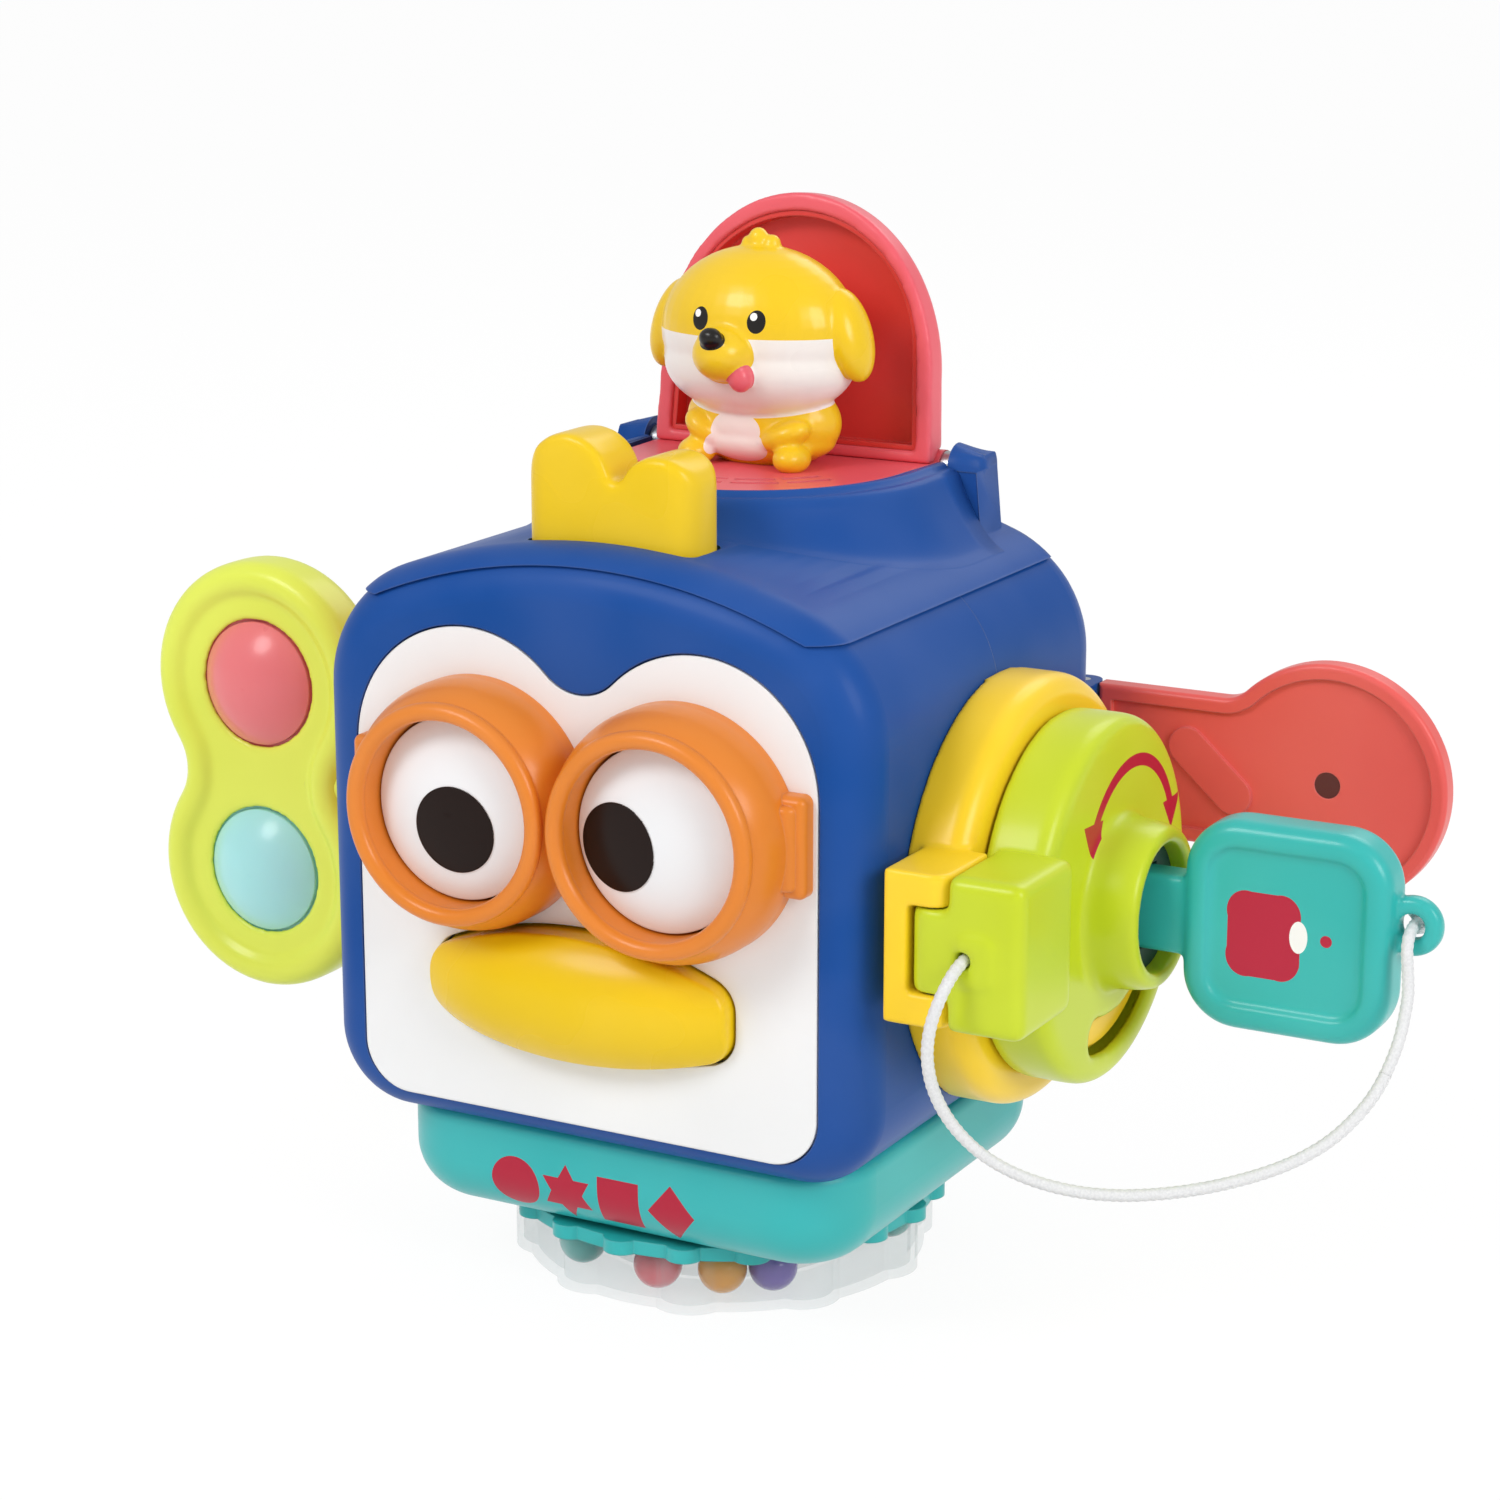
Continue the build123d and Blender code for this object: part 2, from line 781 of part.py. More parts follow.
eye_body = (
    eye_disc(0)
    + Pos(0, 0, eye_hub_back) * Cylinder(eye_hub_radius, eye_back_depth - eye_hub_back, align=middle)
    + Pos(0, 0, eye_pin_back) * Cylinder(eye_pin_radius, eye_hub_back - eye_pin_back, align=middle)
)
for name, side, look in (("left", -1, look_left), ("right", 1, look_right)):
    pupil = eye_disc(pupil_step) & (Pos(*look) * Cylinder(pupil_radius, 2 * goggle_depth, align=middle))
    place = facing_front(side * eye_half_spacing, eye_z)
    save(f"eye_{name}", place * (eye_body + pupil))
    clip = Pos(0, 0, eye_pin_back) * ring_shape(eye_pin_radius, eye_clip_radius, eye_clip_thickness)
    save(f"eye_clip_{name}", place * clip)
eye_boss_back_y = inner_front_y + eye_boss_length

# Beak, the squeaker behind it and the bridge that carries the squeaker
beak_back_y = -front_depth + beak_back_inset
beak_front_y = -front_depth - beak_depth
beak_z = body_bottom_z + (beak_top_rise + beak_bottom_rise) / 2
beak_dome = egg(
    (0, beak_front_y + beak_dome_depth, beak_z), beak_dome_half_width, beak_dome_depth, beak_dome_half_height
)
beak = extrude(front_plane(beak_back_y) * beak_outline(0), amount=beak_back_y - beak_front_y)
beak = beak & (beak_dome + extrude(front_plane(beak_back_y) * beak_outline(1), amount=beak_back_inset))
beak_rim = beak.edges().filter_by(lambda e: e.center().Y < -front_depth - beak_gap)
beak = fillet(beak_rim, beak_round)
flange_front_y = inner_front_y + running_gap
beak = beak + extrude(
    front_plane(beak_back_y) * beak_outline(beak_gap + beak_flange_width), amount=beak_back_y - flange_front_y
)
save("beak", beak)
bellows_front_y = beak_back_y + beak_travel + running_gap
bellows_pitch = (bridge_front_y - bellows_front_y) / bellows_ribs
bellows = [(bellows_radius - bellows_rib_depth, 0)]
for index in range(bellows_ribs):
    bellows.append((bellows_radius, (index + 0.5) * bellows_pitch))
    bellows.append((bellows_radius - bellows_rib_depth, (index + 1) * bellows_pitch))
save("squeaker_bellows", turned(bellows, facing_front(0, beak_z, bridge_front_y)))
bridge = block(
    (-bridge_half_width, bridge_front_y, beak_z - bridge_half_height),
    (bridge_half_width, bridge_front_y + bridge_thickness, beak_z + bridge_half_height),
)
for side in (-1, 1):
    bridge = bridge + rod(
        (side * bridge_leg_x, inner_front_y, beak_z), (0, 1, 0), bridge_leg_radius, bridge_front_y - inner_front_y
    )
save("beak_bridge", bridge)

# Top button with its spring and latch
button_rear_y = button_front_y + button_depth
button_mid_y = (button_front_y + button_rear_y) / 2
cover_top_z = body_top_z + cover_lip
hump_z = cover_top_z - button_seat_drop + button_hump_height - button_hump_radius
dip_rise = cover_top_z - button_seat_drop + button_valley_height - hump_z
dip_radius = (button_hump_spacing ** 2 + dip_rise ** 2 - button_hump_radius ** 2) / (
    2 * (button_hump_radius - dip_rise)
)
flange_top_z = body_top_z - button_flange_drop
to_dip = Vector(-button_hump_spacing, dip_rise + dip_radius).normalized()
dip_join = Vector(button_hump_spacing, hump_z) + to_dip * button_hump_radius
over_hump = Vector(button_hump_spacing, hump_z) + (to_dip + Vector(1, 0)).normalized() * button_hump_radius
hump_side = [
    Line((0, flange_top_z), (button_half_width, flange_top_z)),
    Line((button_half_width, flange_top_z), (button_half_width, hump_z)),
    ThreePointArc((button_half_width, hump_z), (over_hump.X, over_hump.Y), (dip_join.X, dip_join.Y)),
]
dip = ThreePointArc((dip_join.X, dip_join.Y), (0, hump_z + dip_rise), (-dip_join.X, dip_join.Y))
button_face = make_face(hump_side + [dip] + [edge.mirror(Plane.YZ) for edge in hump_side])
top_button = extrude(front_plane(button_rear_y) * button_face, amount=button_depth)
button_rim = [
    edge
    for face in (top_button.faces().sort_by(Axis.Y)[0], top_button.faces().sort_by(Axis.Y)[-1])
    for edge in face.edges()
    if edge.center().Z > flange_top_z + button_top_round
]
top_button = fillet(button_rim, button_top_round)
flange_low_z = flange_top_z - button_flange_thickness
top_button = top_button + block(
    (-button_half_width - button_flange_width, button_front_y - button_flange_width, flange_low_z),
    (button_half_width + button_flange_width, button_rear_y + button_flange_width, flange_top_z),
)
top_button = top_button + block(
    (-latch_half_width, button_rear_y, flange_top_z - latch_thickness),
    (latch_half_width, button_rear_y + latch_reach, flange_top_z),
)
save("top_button", top_button)
button_well = Pos(0, button_mid_y, flange_top_z) * extrude(
    RectangleRounded(
        2 * (button_half_width + button_gap), button_depth + 2 * button_gap, button_top_round + button_gap
    ),
    amount=button_hump_height,
)
shelf_top_z = flange_low_z - button_spring_length
button_spring = Pos(0, button_mid_y, shelf_top_z) * ring_shape(
    button_spring_radius - button_spring_wall, button_spring_radius, button_spring_length
)
save("button_spring", button_spring)


# Hatch, drawn about its hinge axis
def arch(foot_half, spring_half, crown, foot):
    """Leaning straight legs under half an ellipse, with the foot on the axis."""
    spring = foot + hatch_leg
    return make_face([
        Polyline((-spring_half, spring), (-foot_half, foot), (foot_half, foot), (spring_half, spring)),
        EllipticalCenterArc((0, spring), spring_half, crown, start_angle=0, arc_size=180),
    ])


def hatch_arch(grow, foot=hatch_foot):
    return arch(
        hatch_half_width + grow, hatch_spring_half_width + grow, hatch_crown + grow + hatch_foot - foot, foot
    )


hinge_place = Pos(0, hatch_hinge_y, hatch_z)
leaning = hinge_place * Rot(X=-hatch_lean)
lid_depth = hatch_front_face + hatch_back_face
lid = extrude(front_plane(hatch_back_face) * hatch_arch(0, foot=-hatch_foot), amount=lid_depth)
lid_back_edges = lid.faces().sort_by(Axis.Y)[-1].edges().filter_by(lambda e: e.center().Z > hatch_foot)
lid = fillet(lid_back_edges, hatch_back_round)
recess_back_y = hatch_back_face - hatch_back_wall
recess_foot = hatch_foot + hatch_rim / 2
lid_recess = extrude(
    front_plane(recess_back_y) * hatch_arch(-hatch_rim, foot=recess_foot), amount=hatch_recess + cut_overrun
)
lid = leaning * (lid - lid_recess)
liner_front = hatch_recess - hatch_liner_inset
liner = extrude(front_plane(recess_back_y) * hatch_arch(-hatch_rim, foot=recess_foot), amount=liner_front)
liner = liner - extrude(
    front_plane(recess_back_y - liner_wall) * hatch_arch(-hatch_rim - liner_wall, foot=recess_foot + liner_wall),
    amount=liner_front,
)
save("hatch_liner", leaning * liner)
floor_face_z = hatch_z + floor_top
knuckles = [
    rod((side * knuckle_start, hatch_hinge_y, hatch_z), (side, 0, 0), knuckle_radius,
        knuckle_end - knuckle_start)
    for side in (-1, 1)
]
knuckle_room = [
    rod((side * (knuckle_start - running_gap), hatch_hinge_y, hatch_z), (side, 0, 0),
        knuckle_radius + running_gap, knuckle_end - knuckle_start + cut_overrun)
    for side in (-1, 1)
]
below_floor = block(
    (-half_width, hatch_hinge_y - hatch_front_face - cut_overrun, floor_face_z - cut_overrun - hatch_front_face),
    (half_width, hatch_hinge_y + cut_overrun, floor_face_z),
)
save("hatch_lid", lid - below_floor - knuckle_room)
hatch_floor = hinge_place * Pos(0, 0, floor_top - floor_thickness) * extrude(
    Rot(Z=180) * hatch_arch(0, foot=-hatch_back_face), amount=floor_thickness
)
hatch_floor = hatch_floor + knuckles
pin_bores = [
    rod((side * (hatch_pin_start - running_gap), hatch_hinge_y, hatch_z), (side, 0, 0),
        hatch_pin_radius + running_gap / 2, knuckle_end)
    for side in (-1, 1)
]
hatch_floor = hatch_floor - pin_bores


def floor_slot(radius, angle):
    """Arc-shaped slot in the floor, around the puppy's middle."""
    start = radians(angle - floor_slot_sweep / 2)
    middle_angle = radians(angle)
    end = radians(angle + floor_slot_sweep / 2)
    path = ThreePointArc(*[(radius * cos(turn), radius * sin(turn)) for turn in (start, middle_angle, end)])
    across = Plane(origin=path @ 0, x_dir=(cos(start), sin(start), 0), z_dir=path % 0)
    return sweep(across * Rectangle(floor_slot_width, 4 * floor_thickness), path)


slot_place = Pos(0, puppy_centre_y, floor_face_z)
for radius, angles in floor_slots.items():
    hatch_floor = hatch_floor - [slot_place * floor_slot(radius, angle) for angle in angles]
save("hatch_floor", hatch_floor)
hatch_pins = Compound([
    rod((side * hatch_pin_start, hatch_hinge_y, hatch_z), (side, 0, 0), hatch_pin_radius,
        hatch_pin_end - hatch_pin_start)
    for side in (-1, 1)
])
save("hatch_pins", hatch_pins)
sleeve_length = lug_inner_x - knuckle_end - 2 * running_gap
hatch_spring = Compound([
    Plane(origin=(side * (knuckle_end + running_gap), hatch_hinge_y, hatch_z), z_dir=(side, 0, 0))
    * ring_shape(hatch_pin_radius, spring_sleeve_radius, sleeve_length)
    for side in (-1, 1)
])
save("hatch_spring", hatch_spring)


# Top cover with the collar and the hinge lugs
def hatch_opening(grow):
    """Plan of the opening under the hatch, grown by an amount."""
    half = hatch_half_width + grow
    spring = hatch_spring_half_width + grow
    foot_y = hatch_hinge_y - hatch_foot
    spring_y = foot_y - hatch_leg
    rear_y = hatch_hinge_y + hatch_rear
    return make_face([
        Polyline(
            (spring, spring_y), (half, foot_y), (half, rear_y),
            (-half, rear_y), (-half, foot_y), (-spring, spring_y),
        ),
        EllipticalCenterArc((0, spring_y), spring, hatch_crown + grow, start_angle=180, arc_size=180),
    ])


collar_low_z = collar_top_z - collar_step
collar_foot = Plane.XY.offset(seam_side_z) * hatch_opening(hatch_gap + collar_width)
collar = extrude(collar_foot, amount=collar_low_z - seam_side_z, dir=(0, 0, 1))
collar = collar + loft(
    [
        Plane.XY.offset(collar_low_z) * hatch_opening(hatch_gap + collar_width),
        Plane.XY.offset(collar_top_z) * hatch_opening(hatch_gap + collar_edge),
    ],
    ruled=True,
)
lug_front_y = hatch_hinge_y - lug_half_depth
lug_rear_y = hatch_hinge_y + lug_half_depth
collar = collar - block((-half_width, lug_front_y, body_bottom_z), (half_width, rear_depth, sky_z + collar_height))
lugs = []
for side in (-1, 1):
    near, far = sorted((side * lug_inner_x, side * lug_outer_x))
    lugs.append(block((near, lug_front_y, seam_side_z), (far, lug_rear_y, hatch_z)))
    lugs.append(rod((near, hatch_hinge_y, hatch_z), (1, 0, 0), lug_half_depth, far - near))
opening_column = Plane.XY.offset(seam_side_z) * hatch_opening(hatch_gap)
opening_cut = extrude(opening_column, amount=collar_top_z - seam_side_z + cut_overrun, dir=(0, 0, 1))
top_cover = (body_form(cover_lip) - inner_form) & cover_zone
collar = collar + lugs - inner_form
top_cover = top_cover + collar - opening_cut - button_well - hatch_pins
save("top_cover", top_cover)

# Screw bosses shared by the two body shells
boss_places = []
for side in (-1, 1):
    boss_places.append((side * (half_width - screw_low_inset), body_bottom_z + screw_low_rise))
    boss_places.append((side * (half_width - screw_high_inset), body_top_z - screw_high_drop))
front_bosses = [
    rod((x, inner_front_y, z), (0, 1, 0), screw_boss_radius, -inner_front_y) for x, z in boss_places
]
rear_bosses = [
    rod((x, 0, z), (0, 1, 0), screw_boss_radius, rear_depth - shell_wall / 2) for x, z in boss_places
]
thread_holes = [
    rod((x, -screw_grip, z), (0, 1, 0), screw_shank_radius, screw_grip) for x, z in boss_places
]
clear_holes = [rod((x, 0, z), (0, 1, 0), screw_clear_radius, rear_depth) for x, z in boss_places]
head_wells = [
    rod((x, screw_seat_y, z), (0, 1, 0), screw_recess_radius, rear_depth) for x, z in boss_places
]
housing_screws = [
    rod((x, screw_seat_y, z), (0, 1, 0), screw_head_radius, screw_head_height)
    + rod((x, -screw_grip, z), (0, 1, 0), screw_shank_radius, screw_seat_y + screw_grip)
    for x, z in boss_places
]
save("housing_screws", Compound(housing_screws))
tray_boss_height = screw_grip + shell_wall
tray_bosses = [
    rod((x, y, body_bottom_z), (0, 0, 1), screw_boss_radius, tray_boss_height) for x, y in tray_screw_places
]
tray_threads = [
    rod((x, y, body_bottom_z), (0, 0, 1), screw_shank_radius, screw_grip) for x, y in tray_screw_places
]

# Side axis: paddle on one side, lock on the other
panel_face_x = -half_width - panel_thickness
axle_hole = rod((-half_width, 0, axle_z), (1, 0, 0), axle_shaft_radius + running_gap / 2, half_width / 2)

# Flap hinge at the back
flap_z = body_bottom_z + flap_rise
flap_y = rear_depth + flap_back_gap + flap_thickness / 2
flap_lugs = []
for side in (-1, 1):
    low, high = sorted((
        flap_z + side * flap_half_height, flap_z + side * (flap_knuckle_half_height + running_gap)
    ))
    flap_lugs.append(rod((flap_hinge_x, flap_y, low), (0, 0, 1), flap_knuckle_radius, high - low))
    flap_lugs.append(block(
        (flap_hinge_x - flap_knuckle_radius, flap_lug_root_y, low),
        (flap_hinge_x + flap_knuckle_radius, flap_y, high),
    ))
flap_pin = rod((flap_hinge_x, flap_y, flap_z - flap_half_height), (0, 0, 1), flap_pin_radius, 2 * flap_half_height)
save("flap_pin", flap_pin)
peg_x = 2 * flap_hinge_x - flap_disc_x
flap_peg = rod((peg_x, rear_depth - shell_wall, flap_z), (0, 1, 0), flap_peg_radius, shell_wall + flap_peg_length)

# Body shells
side_far = half_width + cut_overrun
front_half = block((-side_far, -front_depth, body_bottom_z), (side_far, 0, body_top_z))
rear_half = block((-side_far, 0, body_bottom_z), (side_far, rear_depth, body_top_z))
eye_bosses = [
    rod((side * eye_half_spacing, inner_front_y, eye_z), (0, 1, 0), eye_boss_radius, eye_boss_length)
    for side in (-1, 1)
]
eye_bores = [
    rod((side * eye_half_spacing, -front_depth, eye_z), (0, 1, 0), eye_pin_radius + running_gap / 2,
        front_wall + eye_boss_length)
    for side in (-1, 1)
]
shelf = block(
    (-shelf_half_width, inner_front_y, shelf_top_z - shelf_thickness),
    (shelf_half_width, button_rear_y + button_gap, shelf_top_z),
)
front_shell = (shell & front_half) + front_bosses + eye_bosses + shelf + [b & front_half for b in tray_bosses]
front_shell = front_shell - rebate - beak_opening - eye_bores - peg_holes - thread_holes - tray_threads - axle_hole
save("front_shell", front_shell)
rear_shell = (shell & rear_half) + rear_bosses + [b & rear_half for b in tray_bosses]
rear_shell = rear_shell + (Compound(flap_lugs) - inner_form) + flap_peg
rear_shell = rear_shell - clear_holes - head_wells - tray_threads - axle_hole - flap_pin
save("rear_shell", rear_shell)

# Red panel on the paddle's side
panel_low_z = body_bottom_z + panel_bottom_rise
panel_high_z = body_top_z - panel_top_drop
panel_plan = Pos(0, (panel_low_z + panel_high_z) / 2) * RectangleRounded(
    2 * panel_half_depth, panel_high_z - panel_low_z, panel_corner_radius
)
panel_start_x = -half_width - panel_thickness - cut_overrun
panel_column = extrude(side_plane(panel_start_x) * panel_plan, amount=panel_column_length)
panel_inset = offset(panel_plan, amount=-panel_rim)
inset_column = extrude(side_plane(panel_start_x) * panel_inset, amount=panel_column_length)
side_panel = (panel_column & body_form(panel_thickness)) - (
    inset_column & (body_form(panel_thickness) - body_form(panel_thickness - panel_recess))
) - outer_form
side_panel = side_panel + rod(
    (panel_face_x - panel_collar_height, 0, axle_z), (1, 0, 0), panel_collar_radius,
    panel_collar_height + panel_thickness,
)
side_panel = side_panel - rod(
    (panel_start_x, 0, axle_z), (1, 0, 0), axle_shaft_radius + running_gap / 2, panel_column_length
)
save("side_panel", side_panel)


# Paddle
def paddle_outline(shrink):
    """Two discs joined by a waist, one above the other."""
    reach = lobe_radius + waist_radius
    waist_x = sqrt(reach ** 2 - lobe_offset ** 2)
    band = 2 * lobe_offset * waist_radius / reach
    face = Rectangle(2 * waist_x, band)
    face = face - [Pos(side * waist_x, 0) * Circle(waist_radius) for side in (-1, 1)]
    face = face + [Pos(0, side * lobe_offset) * Circle(lobe_radius) for side in (-1, 1)]
    return offset(face, amount=-shrink) if shrink else face


paddle_place = Pos(paddle_centre_x, 0, axle_z)
axle_end_x = paddle_centre_x + axle_neck_inset
neck_end_x = panel_face_x - panel_collar_height - running_gap
wing_axle = (
    rod((axle_end_x, 0, axle_z), (1, 0, 0), axle_neck_radius, neck_end_x - axle_end_x)
    + rod((neck_end_x, 0, axle_z), (1, 0, 0), axle_shaft_radius, axle_tip_x - neck_end_x)
)
save("wing_axle", wing_axle)
clip_x = -half_width + shell_wall + running_gap
save("wing_clip", Plane(origin=(clip_x, 0, axle_z), x_dir=(0, 1, 0), z_dir=(1, 0, 0)) * ring_shape(
    axle_shaft_radius, axle_clip_radius, axle_clip_thickness
))
bubble_rest = -bubble_travel / 2
bubble_room = bubble_travel / 2 + bubble_flange_thickness / 2 + running_gap
bubble_cavities = []
bubble_holes = []
for side in (-1, 1):
    centre = (paddle_centre_x, 0, axle_z + side * lobe_offset)
    bubble_holes.append(
        rod((centre[0], -paddle_half_thickness, centre[2]), (0, 1, 0), bubble_radius + bubble_gap,
            2 * paddle_half_thickness)
    )
    bubble_cavities.append(
        rod((centre[0], -bubble_room, centre[2]), (0, 1, 0), bubble_flange_radius + bubble_gap, 2 * bubble_room)
    )
for name, y_side in (("front", -1), ("back", 1)):
    half = extrude(Plane.XZ * paddle_outline(0), amount=paddle_half_thickness)
    half = fillet(half.faces().sort_by(Axis.Y)[0].edges(), paddle_edge_round)
    sunk = extrude(front_plane(-paddle_web) * paddle_outline(paddle_rim), amount=paddle_half_thickness)
    half = half - sunk
    half = half if y_side < 0 else half.mirror(Plane.XZ)
    half = paddle_place * half - wing_axle - bubble_holes - bubble_cavities
    save(f"wing_{name}", half)


lens_edge = Line((bubble_radius, -bubble_edge), (bubble_radius, bubble_edge))
lens_top = dome_arc(bubble_radius, bubble_edge, bubble_dome)
lens_face = make_face([
    lens_edge, lens_top, lens_top.mirror(Plane.XZ), Line((0, -bubble_dome), (0, bubble_dome))
])
bubble = revolve(Plane.XZ * lens_face, Axis.Z) + Pos(0, 0, -bubble_flange_thickness / 2) * Cylinder(
    bubble_flange_radius, bubble_flange_thickness, align=middle
)
for name, side in (("top", 1), ("bottom", -1)):
    place = facing_front(paddle_centre_x, axle_z + side * lobe_offset, bubble_rest)
    save(f"bubble_{name}", place * bubble)


# Lock base on the other side
def facing_right(x, y=0, z=None):
    """Place whose local Z axis points along +X and whose local X runs along Y."""
    height = axle_z if z is None else z
    return Plane(origin=(x, y, height), x_dir=(0, 1, 0), z_dir=(1, 0, 0))


lock_face_x = half_width + lock_base_thickness
fork_z = body_bottom_z + fork_rise
lock_base = facing_right(half_width - lock_base_root) * Cylinder(
    lock_base_radius, lock_base_thickness + lock_base_root, align=middle
)
lock_base = fillet(lock_base.faces().sort_by(Axis.X)[-1].edges(), lock_base_round)
lock_base = lock_base + facing_right(lock_face_x) * ring_shape(
    lock_core_inner_radius, lock_core_outer_radius, lock_core_height
)
fork = block(
    (half_width + fork_left, fork_front_y, fork_z - fork_half_height),
    (half_width + fork_right, fork_rear_y, fork_z + fork_half_height),
)
hinge_x = half_width + door_hinge_x
fork_corner = fork.edges().filter_by(Axis.Z).sort_by(Axis.Y)[:2].sort_by(Axis.X)[-1]
fork = fillet(fork_corner, door_knuckle_radius)
knuckle_half = fork_half_height - fork_bar
fork_window = block(
    (hinge_x - door_knuckle_radius - door_knuckle_gap, fork_front_y - cut_overrun, fork_z - knuckle_half),
    (half_width + fork_right, door_hinge_y + door_knuckle_reach, fork_z + knuckle_half),
)
fork_step = block(
    (lock_face_x, fork_rear_y - door_swing_room, fork_z - fork_half_height),
    (half_width + fork_right, fork_rear_y, fork_z + fork_half_height),
)
hinge_pin = rod((hinge_x, door_hinge_y, fork_z - fork_half_height + door_pin_cap), (0, 0, 1), door_pin_radius,
                2 * (fork_half_height - door_pin_cap))
tongue_room = rod(
    (half_width, 0, axle_z), (1, 0, 0), rotor_tongue_half_length + tongue_clearance / 2,
    lock_base_thickness - tongue_wall,
)
tongue_slot = block(
    (half_width, -rotor_tongue_half_width - tongue_clearance, axle_z - rotor_tongue_half_length - tongue_clearance),
    (lock_face_x + cut_overrun, rotor_tongue_half_width + tongue_clearance,
     axle_z + rotor_tongue_half_length + tongue_clearance),
)
core_well = facing_right(lock_face_x) * Cylinder(lock_core_inner_radius, lock_core_height, align=middle)
lock_base = lock_base + (fork - fork_window - fork_step) - outer_form
lock_base = lock_base - hinge_pin - tongue_room - tongue_slot - core_well
save("lock_base", lock_base)
save("lock_hinge_pin", hinge_pin)

# Lock door: drum, boss and hinge block
door_back_x = lock_face_x + running_gap + door_stand_off
door_face_x = door_back_x + door_thickness
boss_face_x = door_face_x + door_boss_height
door = facing_right(door_back_x) * Cylinder(door_radius, door_thickness, align=middle)
door = fillet(door.faces().sort_by(Axis.X)[-1].edges(), door_edge_round)
boss = facing_right(door_face_x - door_wall) * Cone(
    door_boss_root_radius, door_boss_radius, door_boss_height + door_wall, align=middle
)
boss = fillet(boss.faces().sort_by(Axis.X)[-1].edges(), door_boss_round)
hinge_block = block(
    (half_width + block_left, block_front_y, fork_z - block_half_height),
    (half_width + block_right, block_rear_y, fork_z + block_half_height),
)
hinge_block = fillet(hinge_block.edges().filter_by(lambda e: e.center().X > half_width + block_left), block_round)
knuckle = rod((hinge_x, door_hinge_y, fork_z - knuckle_half + running_gap), (0, 0, 1), door_knuckle_radius,
              2 * (knuckle_half - running_gap))
knuckle_arm = block(
    (hinge_x, door_hinge_y - door_knuckle_radius, fork_z - knuckle_half + running_gap),
    (half_width + block_left + block_round, door_hinge_y + door_knuckle_radius,
     fork_z + knuckle_half - running_gap),
)
tab = block(
    (half_width + tab_left, block_front_y - tab_height, fork_z - tab_half_height - tab_drop),
    (half_width + tab_right, block_front_y + block_round, fork_z + tab_half_height - tab_drop),
)
tab = fillet(tab.edges().filter_by(Axis.Y), tab_round)
tab = fillet(tab.faces().sort_by(Axis.Y)[0].edges(), tab_height / 2)
cord_x = half_width + cord_hole_x
cord_z = fork_z - tab_drop
cord_hole = block(
    (cord_x - cord_hole_width / 2, block_front_y - cut_overrun, cord_z - cord_hole_width / 2),
    (cord_x + cord_hole_width / 2, block_front_y + cord_hole_depth, cord_z + cord_hole_width / 2),
)
door_inside = facing_right(door_back_x) * Cylinder(
    door_radius - door_wall, door_thickness - door_wall, align=middle
)
door_bore = facing_right(door_back_x) * Cylinder(
    rotor_radius + running_gap / 2, door_thickness + door_boss_height, align=middle
)
slot_path = CenterArc((0, 0, 0), door_slot_radius, door_slot_start, door_slot_sweep)
slot_face = Plane.XY * SlotArc(slot_path, door_slot_width)
door_slot = extrude(facing_right(door_face_x - door_wall) * slot_face, amount=door_wall)
lock_door = door - door_inside + (boss - facing_right(door_back_x) * Cylinder(
    rotor_radius + running_gap / 2, door_thickness + door_boss_height, align=middle
)) + (hinge_block - facing_right(door_back_x) * Cylinder(door_radius - door_wall, door_thickness, align=middle))
lock_door = lock_door + knuckle + knuckle_arm + tab
lock_door = lock_door - door_bore - cord_hole - door_slot - rod(
    (hinge_x, door_hinge_y, fork_z - fork_half_height), (0, 0, 1), door_pin_radius + running_gap / 2,
    2 * fork_half_height,
)
save("lock_door", lock_door)

# Rotor with its locking tongue
rotor_back_x = door_face_x - door_wall - rotor_tail
rotor_face_x = boss_face_x - rotor_front_inset
tongue_x = half_width + tongue_start
rotor = facing_right(rotor_back_x) * Cylinder(rotor_radius, rotor_face_x - rotor_back_x, align=middle)
flange_x = door_face_x - door_wall - running_gap - rotor_flange_thickness
rotor = rotor + facing_right(flange_x) * Cylinder(rotor_flange_radius, rotor_flange_thickness, align=middle)
pocket_x = rotor_face_x - key_shaft_grip - running_gap
key_pocket = facing_right(pocket_x) * Box(
    key_shaft_thickness + 2 * key_gap, key_shaft_height + 2 * key_gap, rotor_face_x - pocket_x, align=middle
)
rotor = rotor - key_pocket
rotor = rotor + facing_right(tongue_x) * Cylinder(rotor_neck_radius, rotor_back_x - tongue_x, align=middle)
rotor = rotor + facing_right(tongue_x) * Box(
    2 * rotor_tongue_half_width, 2 * rotor_tongue_half_length, rotor_tongue_thickness, align=middle
)
save("lock_rotor", rotor)

# Key
key_tip_x = rotor_face_x - key_shaft_grip
bow_start_x = half_width + key_bow_start
key_shaft = facing_right(key_tip_x) * Box(key_shaft_thickness, key_shaft_height, bow_start_x - key_tip_x + key_bow_round,
                                          align=middle)
key_shaft = fillet(key_shaft.edges().filter_by(Axis.X), key_shaft_round)
bow_plan = RectangleRounded(key_bow_size, key_bow_size, key_bow_corner)
bow_x = bow_start_x + key_bow_size / 2
bow = extrude(front_plane(key_bow_thickness / 2) * Pos(bow_x, axle_z) * bow_plan, amount=key_bow_thickness)
bow = fillet(bow.faces().sort_by(Axis.Y)[0].edges() + bow.faces().sort_by(Axis.Y)[-1].edges(), key_bow_round)
dish_plan = offset(bow_plan, amount=-key_dish_inset)
dish_low = key_bow_thickness / 2 - key_dish_depth
dish_front = extrude(front_plane(-dish_low) * Pos(bow_x, axle_z) * dish_plan, amount=key_dish_depth + cut_overrun)
